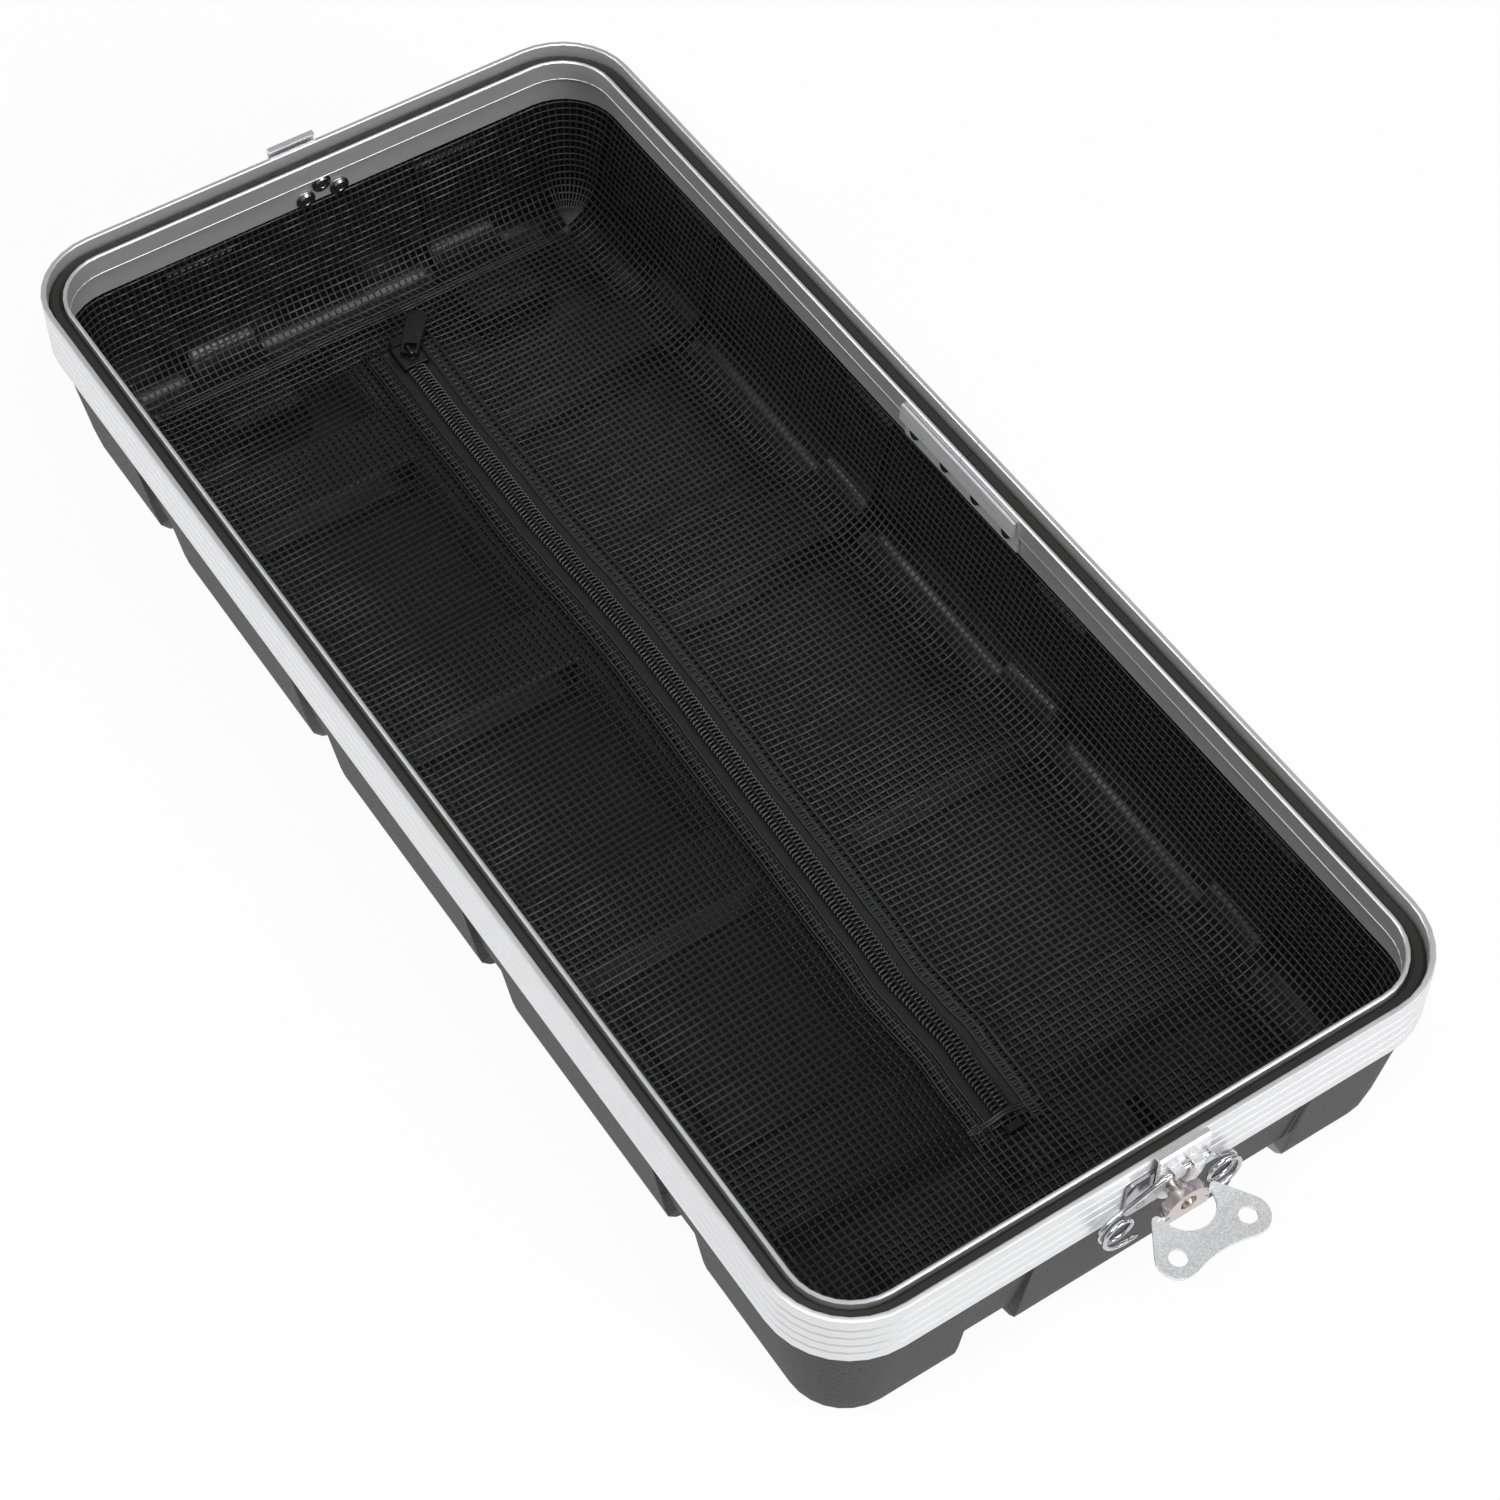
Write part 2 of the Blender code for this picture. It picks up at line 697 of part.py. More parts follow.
def build_slider(materials, line, tape_top, chain_top):
    """The slider that rides the chain, with its arch, and the pull hung in the arch."""
    start_x = -tape_length / 2 + slider_length / 2
    roof_low = chain_top + seat_gap
    roof_high = roof_low + slider_roof
    skirt_low = tape_top + seat_gap
    half = slider_width / 2
    inner = half - slider_skirt
    bevel = slider_skirt / 2
    outline = [(-half, skirt_low), (-inner, skirt_low), (-inner, roof_low), (inner, roof_low)]
    outline += [(inner, skirt_low), (half, skirt_low), (half, roof_high - bevel)]
    outline += [(half - bevel, roof_high), (bevel - half, roof_high), (-half, roof_high - bevel)]
    body = add_object("zip_slider", prism_mesh("zip_slider", outline, -slider_length / 2, slider_length / 2, "x"))
    arch_half = arch_length / 2
    foot = roof_low + slider_roof / 2
    under = roof_high + arch_clear
    crown = under + arch_bar
    outline = [(-arch_half, foot), (arch_bar - arch_half, foot), (arch_bar - arch_half, under)]
    outline += [(arch_half - arch_bar, under), (arch_half - arch_bar, foot), (arch_half, foot)]
    outline += [(arch_half, under), (arch_half - arch_bar, crown), (arch_bar - arch_half, crown)]
    outline += [(-arch_half, under)]
    arch = add_object("arch", prism_mesh("arch", outline, -arch_width / 2, arch_width / 2, "y"))
    combine(body, arch, "UNION")
    body.data.materials.append(materials["slider"])
    body.parent = line
    body.location = (start_x, 0.0, 0.0)
    pivot_z = roof_high + arch_clear / 2
    hang = add_empty("pull_hang", (0.0, 0.0, pivot_z), pull_skew, body)
    bar_half = pull_bar / 2
    root = pull_root_width / 2
    tip = pull_tip_width / 2
    corner = tip / 2
    outline = [(bar_half, -root), (bar_half, root), (corner - pull_length, tip)]
    outline += [(-pull_length, tip - corner), (-pull_length, corner - tip), (corner - pull_length, -tip)]
    half_sheet = pull_thickness / 2
    pull = add_object("zip_pull", prism_mesh("zip_pull", outline, -half_sheet, half_sheet, "z"))
    window = box_mesh(
        "window",
        (-bar_half - pull_window_length, -pull_window_width / 2, -cut_overrun),
        (-bar_half, pull_window_width / 2, cut_overrun),
    )
    combine(pull, add_object("window", window), "DIFFERENCE")
    pull.data.materials.append(materials["slider"])
    pull.parent = hang


def latch_base_mesh():
    """The riveted base plate, with bores for the rivets and the cam's rivet."""
    low = -band_drop
    high = -base_top_drop
    half = base_half_width
    centres = ((half - base_corner, high - base_corner, 0.0), (base_corner - half, high - base_corner, 0.5))
    centres += ((base_corner - half, low + base_corner, 1.0), (half - base_corner, low + base_corner, 1.5))
    outline = []
    for y, z, start in centres:
        outline += arc((y, z), base_corner, start * math.pi, (start + 0.5) * math.pi, 3)
    body = add_object("base", prism_mesh("base", outline, seat_gap, seat_gap + base_sheet, "x"))
    places = list(latch_rivet_places()) + [(pivot_y, -pivot_drop)]
    radii = [rivet_shank_radius + running_gap] * 3 + [pin_radius + running_gap]
    for (y, z), radius in zip(places, radii):
        bore = prism_mesh("bore", circle((y, z), radius, rivet_steps), -cut_overrun, cut_overrun, "x")
        combine(body, add_object("bore", bore), "DIFFERENCE")
    return take_mesh(body)


def take_mesh(item):
    """Keep an object's mesh and drop the object."""
    mesh = item.data
    bpy.data.objects.remove(item, do_unlink=True)
    return mesh


def hook_back_x():
    """Inner face of the hook plate."""
    return seat_gap + base_sheet + seat_gap


def cam_mesh():
    """The cam about its rivet: offset hub behind, neck, and the cut disc in front."""
    hub_low = hook_back_x()
    hub_high = hub_low + hook_sheet + seat_gap
    hub = circle((hub_offset_y, hub_offset_z), hub_radius, round_steps)
    body = add_object("cam", prism_mesh("cam", hub, hub_low, hub_high, "x"))
    neck = prism_mesh("neck", circle((0.0, 0.0), neck_radius, round_steps), hub_high - seat_gap,
                      disc_back_x + seat_gap, "x")
    combine(body, add_object("neck", neck), "UNION")
    limit = math.asin(disc_chord / disc_radius)
    outline = arc((0.0, -disc_drop), disc_radius, -limit, math.pi + limit, round_steps)
    disc = prism_mesh("disc", outline, disc_back_x, disc_face_x, "x")
    combine(body, add_object("disc", disc), "UNION")
    bore = prism_mesh("bore", circle((0.0, 0.0), pin_radius + running_gap, rivet_steps), -cut_overrun,
                      disc_face_x + cut_overrun, "x")
    combine(body, add_object("bore", bore), "DIFFERENCE")
    sink = prism_mesh("sink", circle((0.0, 0.0), countersink_radius, rivet_steps),
                      disc_face_x - countersink_depth, disc_face_x + cut_overrun, "x")
    combine(body, add_object("sink", sink), "DIFFERENCE")
    for sign in (-1, 1):
        near_y, far_y = sorted((sign * (wing_hole_radius - wing_pin_reach - seat_gap),
                                sign * (wing_hole_radius + cut_overrun)))
        outline = [(z, x) for x, z in circle((wing_axis_x, -disc_drop), wing_pin_bore, 8)]
        rings = [[(x, level, z) for z, x in outline] for level in (near_y, far_y)]
        combine(body, add_object("pin_bore", loft_mesh("pin_bore", rings)), "DIFFERENCE")
    mesh = take_mesh(body)
    shade_round(mesh)
    return mesh


def cam_rivet_mesh():
    """The cam's rivet: shank through cam and base, domed head in the countersink."""
    seat = disc_face_x - countersink_depth + seat_gap
    crown = seat + cam_head_height
    levels = ((pin_radius, 2 * seat_gap), (pin_radius, seat), (cam_head_radius, seat))
    levels += ((cam_head_radius * 0.9, seat + cam_head_height / 2), (cam_head_radius / 2, crown))
    rings = []
    for radius, x in levels:
        rings.append([(x, y, z) for y, z in circle((0.0, 0.0), radius, rivet_steps)])
    mesh = loft_mesh("cam_rivet", rings)
    shade_round(mesh)
    return mesh


def hook_mesh():
    """The hook about the hub's centre: plate with round foot, lip on top, two wire tabs."""
    back = hook_back_x()
    front = back + hook_sheet
    centre_drop = pivot_drop - hub_offset_z
    top = centre_drop + hook_top_rise
    outline = arc((0.0, 0.0), hook_half_width, math.pi, 2 * math.pi, round_steps // 2)
    outline += [(hook_half_width, top - hook_sheet / 2), (-hook_half_width, top - hook_sheet / 2)]
    body = add_object("hook", prism_mesh("hook", outline, back, front, "x"))
    tip = front - hook_lip_reach
    lip = [(tip, top - hook_sheet), (front, top - hook_sheet)]
    lip += [(front, top - hook_bend_radius), (front - hook_bend_radius, top), (tip, top)]
    rings = [[(x, y, z) for x, z in lip] for y in (-hook_half_width, hook_half_width)]
    combine(body, add_object("lip", loft_mesh("lip", rings)), "UNION")
    bore = prism_mesh("bore", circle((0.0, 0.0), hub_radius + seat_gap, round_steps), -cut_overrun,
                      front + cut_overrun, "x")
    combine(body, add_object("bore", bore), "DIFFERENCE")
    wire_z = centre_drop - wire_bar_drop
    roof = wire_z + wire_radius + seat_gap
    inner_x = front + seat_gap + 2 * wire_radius + seat_gap
    outer_x = inner_x + tab_sheet
    root_x = front - hook_sheet / 2
    tab = [(root_x, roof), (inner_x, roof), (inner_x, wire_z - wire_radius), (outer_x, wire_z - wire_radius)]
    tab += [(outer_x, roof + tab_sheet), (root_x, roof + tab_sheet)]
    for sign in (-1, 1):
        middle = sign * tab_spacing / 2
        rings = [[(x, y, z) for x, z in tab] for y in (middle - tab_width / 2, middle + tab_width / 2)]
        combine(body, add_object("tab", loft_mesh("tab", rings)), "UNION")
    mesh = take_mesh(body)
    shade_round(mesh)
    return mesh


def spring_path():
    """The wire's centre line about the hub's centre: tail, coil, bar through the tabs, coil, tail."""
    centre_y = pivot_y + hub_offset_y
    centre_drop = pivot_drop - hub_offset_z
    bar_x = hook_back_x() + hook_sheet + seat_gap + wire_radius
    bar_z = centre_drop - wire_bar_drop
    coil_z = centre_drop - coil_drop
    halves = []
    for sign, coil_y in ((-1, coil_left_y - centre_y), (1, coil_right_y - centre_y)):
        top = Vector((coil_back_x, coil_y, coil_z + coil_radius))
        start = Vector((bar_x, sign * wire_bar_half, bar_z))
        half = []
        push = Vector((0.0, sign * leg_sweep, 0.0))
        for step in range(leg_points):
            share = step / leg_points
            blend = share * share * (3 - 2 * share)
            bulge = share * (1 - share) * (1 - 2 * share)
            half.append(start.lerp(top, blend) + push * bulge)
        count = round(coil_turns * coil_points)
        for step in range(count + 1):
            turn = 2 * math.pi * step / coil_points
            x = coil_back_x + coil_pitch * step / coil_points
            y = coil_y + sign * coil_radius * math.sin(turn)
            half.append(Vector((x, y, coil_z + coil_radius * math.cos(turn))))
        half.append(half[-1] - Vector((0.0, sign * tail_length, 0.0)))
        halves.append(half)
    return list(reversed(halves[0])) + halves[1]


def least_self_gap(path):
    """Least clear distance between stretches of the wire that aren't neighbours."""
    fine = []
    for first, second in zip(path, path[1:]):
        fine += [first.lerp(second, step / 4) for step in range(4)]
    skip = round(4 * coil_points / 2)
    least = min((a - b).length for i, a in enumerate(fine) for b in fine[i + skip:])
    return least - 2 * wire_radius


def spring_mesh(path):
    """The wire as one tube along its path."""
    curve = bpy.data.curves.new("wire", "CURVE")
    curve.dimensions = "3D"
    curve.bevel_depth = wire_radius
    curve.bevel_resolution = 1
    curve.use_fill_caps = True
    line = curve.splines.new("POLY")
    line.points.add(len(path) - 1)
    for slot, place in zip(line.points, path):
        slot.co = (*place, 1.0)
    item = bpy.data.objects.new("wire", curve)
    bpy.context.scene.collection.objects.link(item)
    bpy.context.view_layer.update()
    graph = bpy.context.evaluated_depsgraph_get()
    mesh = bpy.data.meshes.new_from_object(item.evaluated_get(graph))
    bpy.data.objects.remove(item, do_unlink=True)
    build = bmesh.new()
    build.from_mesh(mesh)
    bmesh.ops.remove_doubles(build, verts=build.verts, dist=seat_gap / 30)
    bmesh.ops.recalc_face_normals(build, faces=build.faces)
    build.to_mesh(mesh)
    build.free()
    shade_round(mesh, 60.0)
    return mesh


def wing_outline():
    """The butterfly: ears at the axis, two round lobes, a hollow waist, a round inner cut."""
    ear_y = wing_hole_radius + wing_ear_radius
    reach = math.hypot(wing_lobe_y - ear_y, wing_lobe_out)
    heading = math.atan2(wing_lobe_out, wing_lobe_y - ear_y)
    side = heading - math.pi / 2 - math.asin((wing_lobe_radius - wing_ear_radius) / reach)
    depth = wing_waist_out - wing_lobe_out
    waist_radius = (depth ** 2 + wing_lobe_y ** 2 - wing_lobe_radius ** 2) / (2 * (wing_lobe_radius - depth))
    waist_centre = wing_waist_out + waist_radius
    toward = math.atan2(waist_centre - wing_lobe_out, -wing_lobe_y)
    right = arc((ear_y, 0.0), wing_ear_radius, -math.pi, side, 6)
    right += arc((wing_lobe_y, wing_lobe_out), wing_lobe_radius, side, toward, 9)
    swing = toward - math.pi / 2
    waist = arc((0.0, waist_centre), waist_radius, 1.5 * math.pi + swing, 1.5 * math.pi, 4)[1:]
    right += waist
    left = [(-y, out) for y, out in reversed(right[:-1])]
    inner = arc((0.0, 0.0), wing_hole_radius, math.pi, 0.0, 14)[1:-1]
    return right + left + inner


def wing_mesh():
    """The wing about its pins' axis: flat plate along +X, pins into the disc's sides."""
    half = wing_sheet / 2
    rings = [[(out, y, level) for y, out in wing_outline()] for level in (-half, half)]
    body = add_object("wing", loft_mesh("wing", rings))
    for sign in (-1, 1):
        bore = prism_mesh("bore", circle((wing_lobe_out, sign * wing_lobe_y), wing_small_hole, rivet_steps),
                          -cut_overrun, cut_overrun, "z")
        combine(body, add_object("bore", bore), "DIFFERENCE")
        near_y, far_y = sorted((sign * (wing_hole_radius - wing_pin_reach),
                                sign * (wing_hole_radius + wing_ear_radius)))
        outline = circle((0.0, 0.0), wing_pin_radius, 8)
        rings = [[(x, level, z) for x, z in outline] for level in (near_y, far_y)]
        combine(body, add_object("pin", loft_mesh("pin", rings)), "UNION")
    return take_mesh(body)


def build_latches(materials, tray):
    """Both latches from shared meshes, each on its own seat."""
    path = spring_path()
    print("least gap of the wire to itself, mm:", round(least_self_gap(path) * 1000, 3))
    meshes = {
        "base": (latch_base_mesh(), "plate"),
        "cam": (cam_mesh(), "nickel"),
        "cam_rivet": (cam_rivet_mesh(), "copper"),
        "hook": (hook_mesh(), "zinc"),
        "spring": (spring_mesh(path), "wire"),
        "wing": (wing_mesh(), "zinc"),
    }
    head_foot = -(clamp_inset + clamp_wall + seat_gap)
    rivet = rivet_mesh(rivet_head_height, head_foot, seat_gap + base_sheet)
    for end, sign, turn in end_seats():
        seat = add_empty(end + "_latch_seat", (sign * half_length, 0.0, lip_height), turn, tray)
        pivot = add_empty(end + "_cam_pivot", (0.0, pivot_y, -pivot_drop), 0.0, seat)
        hub = add_empty(end + "_hub_axis", (0.0, hub_offset_y, hub_offset_z), 0.0, pivot)
        hinge = add_empty(end + "_wing_axis", (wing_axis_x, 0.0, -disc_drop), 0.0, pivot)
        parents = {"base": seat, "cam": pivot, "cam_rivet": pivot}
        parents.update({"hook": hub, "spring": hub, "wing": hinge})
        for key, (mesh, finish) in meshes.items():
            item = add_object(end + "_latch_" + key, mesh, materials[finish], parents[key])
            if key == "wing":
                item.rotation_euler.y = near_wing_angle if end == "near" else far_wing_angle
        for place, (y, z) in zip(("left", "right", "top"), latch_rivet_places()):
            item = add_object(end + "_latch_rivet_" + place, rivet, materials["rivet"], seat)
            item.location = (0.0, y, z)
            item.rotation_euler.z = -math.pi / 2


def make_materials():
    """The part's finishes."""
    return {
        "shell": make_material("shell_plastic", (0.090, 0.090, 0.095), 0.62, 0.0),
        "aluminium": make_material("frame_aluminium", (0.80, 0.80, 0.81), 0.34, 1.0),
        "rubber": make_material("gasket_rubber", (0.035, 0.034, 0.032), 0.75, 0.0),
        "splice": make_material("splice_aluminium", (0.72, 0.72, 0.73), 0.28, 1.0),
        "rivet": make_material("rivet_steel", (0.55, 0.55, 0.56), 0.25, 1.0),
        "mesh": make_material("liner_mesh", (0.020, 0.020, 0.021), 0.70, 0.0),
        "tape": make_material("zip_tape", (0.025, 0.025, 0.026), 0.80, 0.0),
        "chain": make_material("zip_coil", (0.030, 0.030, 0.032), 0.45, 0.0),
        "slider": make_material("zip_metal", (0.060, 0.060, 0.065), 0.35, 1.0),
        "plate": make_material("dark_chrome", (0.30, 0.30, 0.31), 0.18, 1.0),
        "nickel": make_material("cam_nickel", (0.66, 0.62, 0.60), 0.28, 1.0),
        "copper": make_material("cam_rivet_copper", (0.62, 0.38, 0.26), 0.30, 1.0),
        "zinc": make_material("zinc_plate", (0.70, 0.71, 0.73), 0.38, 1.0),
        "wire": make_material("spring_wire", (0.62, 0.62, 0.63), 0.20, 1.0),
    }


def build():
    """Build the whole cover."""
    clear_objects()
    materials = make_materials()
    tray = add_empty("tray_frame", (tray_shift_x, 0.0, 0.0))
    build_shell(materials, tray)
    build_frame(materials, tray)
    build_splice(materials, tray)
    build_liner(materials, tray)
    build_zip(materials, tray)
    build_latches(materials, tray)


build()
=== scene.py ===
"""Looks for the rack case cover: net liner, zip, materials, stage, lights and camera."""

import math

import bmesh
import bpy
from mathutils import Matrix, Vector, noise


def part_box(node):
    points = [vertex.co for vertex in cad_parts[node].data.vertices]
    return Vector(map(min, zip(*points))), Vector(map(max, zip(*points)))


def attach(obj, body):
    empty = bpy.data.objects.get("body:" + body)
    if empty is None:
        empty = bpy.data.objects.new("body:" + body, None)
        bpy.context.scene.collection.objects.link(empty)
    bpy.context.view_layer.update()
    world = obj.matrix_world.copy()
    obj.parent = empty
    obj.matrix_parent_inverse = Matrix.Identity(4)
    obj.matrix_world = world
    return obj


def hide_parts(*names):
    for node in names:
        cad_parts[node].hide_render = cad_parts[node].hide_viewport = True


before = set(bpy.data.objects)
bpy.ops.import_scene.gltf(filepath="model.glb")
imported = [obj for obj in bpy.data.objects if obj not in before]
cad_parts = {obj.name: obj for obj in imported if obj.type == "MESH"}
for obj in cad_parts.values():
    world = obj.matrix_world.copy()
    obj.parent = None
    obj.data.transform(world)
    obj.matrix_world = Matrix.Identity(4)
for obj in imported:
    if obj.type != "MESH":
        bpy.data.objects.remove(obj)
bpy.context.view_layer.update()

# Sizes that the scene shares with the model, in metres.
shift_x = -0.00985
half_length = 0.280
half_width = 0.131
corner_radius = 0.032
lip_height = 0.087
rib_pitch = 0.124

# Net.
net_pitch = 0.0030
strand_width = 0.00096
strand_thick = 0.00062
net_top_inset = 0.0077
net_taper = 0.0065
net_top = 0.0644
net_taper_top = 0.0630
net_floor = 0.0159
net_fillet = 0.0230
net_wall_rows = 9
net_arc_steps = 8
first_ring_share = 0.25
corner_strands = 12
floor_step = 0.007
ring_step = 0.012
ring_arc_steps = 8
edge_clear = 0.0005
stitch_share = 1.4
seam_share = 1.6

# How the net's cloth waves and sags between the tray's channels.
wave_rate = 26
fine_rate = 4.1
fine_seed = Vector((7, 3, 1))
sway_size = 0.0007
sway_share = 0.6
fine_size = 0.00035
sag_depth = 0.0014
sag_spread = 0.0007
sag_rate = 1.3
sag_bay = 0.13
sag_bay_ease = 0.10
sag_reach = (0.222, 0.108)
sag_ease = 0.012
sag_inner = 0.021
sag_inner_ease = 0.016
pull_reach = 0.045
turn_ease = 0.012
least_wall = 0.01
upright_share = 1.05

# Zip, in its own skewed frame.
zip_centre = (-0.01635, 0.0002)
zip_skew = math.radians(-1.0)
tape_half = 0.216
chain_half = 0.0039
chain_pitch = 0.00192
wire_radius = 0.00055
tape_inner = 0.0034
tape_outer = 0.0112
net_edge = 0.0080
slot_half = 0.221
hem_reach = 0.0180
hem_ease = 0.0050
hem_lift = 0.0013
hem_fold = 0.0062
hem_step = 0.003
hem_run_step = 0.005
level_step = 0.0010
slope_step = 0.001
tape_under = 0.0004
tape_over = 0.0010
tape_step = 0.004
tape_columns = 4
tape_crown = 0.0003
coil_base = 0.0011
coil_lift = 0.0016
coil_end = 0.001
coil_stop = 0.0005
coil_steps = 8
coil_sides = 5
coil_middle_share = 0.42
coil_reach_share = 0.58
least_side = 0.1

# Net patch over the zip's near end.
patch_span = (0.2135, 0.2395)
patch_half = 0.0155
patch_rise = 0.0022
patch_over = 0.0009
patch_sharp = 0.6
patch_lead = 0.004
patch_ease = 0.006
patch_seam = 0.0012
patch_along = 12
patch_across = 24

# The frame's bead, and the rivets' flanges as radius and height of each ring.
bead_inset = 0.00965
bead_level = 0.0779
bead_radius = 0.00038
splice_half = 0.0372
bead_steps = 10
bead_sides = 6
flange_height = 0.0012
flange_sides = 24
flange_rings = (
    (0.0043, 0.0), (0.0043, 0.0003), (0.0039, 0.0006), (0.0031, 0.0007), (0.0028, 0.0012),
    (0.0023, 0.0015), (0.0016, 0.0014), (0.0012, 0.0010), (0.0011, 0.0001),
)

# Materials.
weld_reach = 0.00001
mark_depth = 0.0002
fuzz_depth = 0.0001
grain_depth = 0.0006
broad_depth = 0.0012
shell_middle = 0.055
shell_edge = 0.0018
shell_side = 0.001
shell_bump = 0.8
sharp_turn = math.radians(33)
bevel_turn = math.radians(34)

# Metals: colour, roughness, marks per metre along each axis, roughness spread, bump, metallic.
metals = {
    "frame_satin": ((0.80, 0.80, 0.81), 0.42, (60, 60, 2400), 0.04, 0.01, 0.75),
    # The splice plate's paler colour and lower metallic are a painted highlight for the light its tilted
    # face catches; its marks are its mill finish.
    "splice_mill_and_highlight": ((0.88, 0.88, 0.89), 0.30, (60, 900, 900), 0.04, 0.01, 0.5),
    "rivet_dark": ((0.36, 0.36, 0.37), 0.22, (500, 500, 500), 0.03, 0.01, 1.0),
    "hook_zinc": ((0.80, 0.80, 0.81), 0.27, (300, 300, 300), 0.03, 0.01, 0.7),
    "cam_nickel": ((0.62, 0.58, 0.56), 0.24, (1500, 1500, 1500), 0.03, 0.01, 1.0),
    "rivet_copper": ((0.50, 0.36, 0.30), 0.28, (1500, 1500, 1500), 0.04, 0.02, 1.0),
    "base_chrome": ((0.42, 0.42, 0.44), 0.14, (500, 500, 500), 0.03, 0.01, 1.0),
    "spring_wire": ((0.60, 0.60, 0.62), 0.12, (800, 800, 800), 0.02, 0.01, 1.0),
}

# Camera, as solved from the photograph: its focal length is in pixels of the photograph.
photo_focal = 3410.211
photo_pixels = 1500
sensor_width = 36.0
camera_azimuth = math.radians(56.383)
camera_elevation = math.radians(52.879)
camera_roll = math.radians(0.218)
camera_distance = 1.185978
camera_target = Vector((0.071152 + shift_x, -0.019574, lip_height))
camera_clip = (0.05, 50.0)

# Stage. Each lamp has a direction, a size in metres and a power in watts.
floor_half = 6.0
floor_drop = 0.0002
floor_glow = 0.94
world_strength = 0.30
lamp_distance = 2.0
lamps = (
    ("right", (0.80, 0.36, 0.50), 0.95, 22.0),
    ("left", (-0.50, -0.80, 0.36), 0.60, 9.0),
    ("top", (0.30, -0.30, 0.95), 1.20, 22.0),
)

# How far the zip strays sideways: pairs of place along it and stray.
wave_table = (
    (-0.220, 0.0), (-0.196, -0.0004), (-0.165, -0.0009), (-0.135, -0.0007), (-0.108, -0.0008),
    (-0.084, 0.0002), (-0.060, 0.0014), (-0.035, 0.0023), (-0.003, 0.0022), (0.027, 0.0014),
    (0.060, 0.0007), (0.092, 0.0001), (0.124, -0.0007), (0.148, -0.0017), (0.164, -0.0004),
    (0.180, 0.0009), (0.197, 0.0), (0.220, -0.0004), (0.240, 0.0),
)


def smooth(t):
    """Ease from 0 to 1."""
    t = min(max(t, 0.0), 1.0)
    return t * t * (3 - 2 * t)


def zip_wave(x):
    """How far the zip strays sideways from its straight line, at a place along it."""
    if x <= wave_table[0][0] or x >= wave_table[-1][0]:
        return 0.0
    for (x0, y0), (x1, y1) in zip(wave_table, wave_table[1:]):
        if x <= x1:
            return y0 + (y1 - y0) * smooth((x - x0) / (x1 - x0))
    return 0.0


def net_place(x, y, z):
    """A point of the net at rest, in tray coordinates, drawn and sagged like slack cloth."""
    pull = math.exp(-((y / pull_reach) ** 2))
    run = x + shift_x - zip_centre[0]
    along = run * math.cos(zip_skew)
    drift = (zip_wave(along) + math.tan(zip_skew) * run) * pull
    hem = smooth((hem_reach - abs(y)) / hem_ease) * smooth((slot_half - abs(along)) / hem_ease)
    if z > net_floor + level_step:
        drift = 0.0
        hem = 0.0
    ripple = Vector((x * wave_rate, y * wave_rate, z * wave_rate))
    sway = noise.noise(ripple) * sway_size
    fine = noise.noise(ripple * fine_rate + fine_seed) * fine_size
    sag = 0.0
    if z <= net_floor + level_step:
        bay = abs((x / rib_pitch) % 1.0 - 0.5)
        open_x = smooth((bay - sag_bay) / sag_bay_ease)
        open_x *= smooth((sag_reach[0] - abs(x)) / sag_ease)
        open_y = smooth((abs(y) - sag_inner) / sag_inner_ease)
        open_y *= smooth((sag_reach[1] - abs(y)) / sag_ease)
        sag = (sag_depth + sag_spread * noise.noise(ripple * sag_rate)) * open_x * open_y
    return Vector((x + sway + fine, y + drift + sway * sway_share - fine, z - sag + hem_lift * hem))


def net_profile():
    """Stations of (inset, height) from the net's top edge down to its floor."""
    stations = [(net_top_inset, net_top), (net_top_inset, net_taper_top)]
    low_inset = net_top_inset + net_taper
    arc_top = net_floor + net_fillet
    for row in range(1, net_wall_rows + 1):
        share = row / net_wall_rows
        height = net_taper_top + (arc_top - net_taper_top) * share
        stations.append((net_top_inset + net_taper * share, height))
    for step in range(1, net_arc_steps + 1):
        turn = 0.5 * math.pi * step / net_arc_steps
        inset = low_inset + net_fillet * (1 - math.cos(turn))
        stations.append((inset, arc_top - net_fillet * math.sin(turn)))
    return stations


def ribbon(build, points, sides, thick_dirs, width, thick):
    """An oval strand through points, with a side direction and a thickness direction at each."""
    rings = []
    for point, side, out in zip(points, sides, thick_dirs):
        a = side * (width / 2)
        b = out * (thick / 2)
        rings.append([build.verts.new(point + corner) for corner in (-a, -b, a, b)])
    for first, second in zip(rings, rings[1:]):
        for index in range(4):
            after = (index + 1) % 4
            build.faces.new((first[index], first[after], second[after], second[index]))
    build.faces.new(list(reversed(rings[0])))
    build.faces.new(rings[-1])


def strand(build, points, out_of, width=strand_width, thick=strand_thick):
    """A strand whose side direction follows from its run and the surface's outward direction."""
    sides = []
    outs = []
    for index in range(len(points)):
        before = points[max(index - 1, 0)]
        after = points[min(index + 1, len(points) - 1)]
        run = (after - before).normalized()
        out = out_of(points[index])
        side = run.cross(out).normalized()
        sides.append(side)
        outs.append(side.cross(run).normalized())
    ribbon(build, points, sides, outs, width, thick)


def surface_out(point):
    """Rough direction from the net's cloth to the inside of the tray."""
    x = point.x
    y = point.y
    height = smooth((point.z - net_floor) / net_fillet)
    to_x = smooth((abs(x) - (half_length - corner_radius)) / turn_ease)
    to_y = smooth((abs(y) - (half_width - corner_radius)) / turn_ease)
    wall = Vector((-math.copysign(to_x, x), -math.copysign(to_y, y), 0.0))
    if wall.length < least_wall:
        return Vector((0.0, 0.0, 1.0))
    wall.normalize()
    return (wall * height + Vector((0.0, 0.0, 1.0)) * (upright_share - height)).normalized()


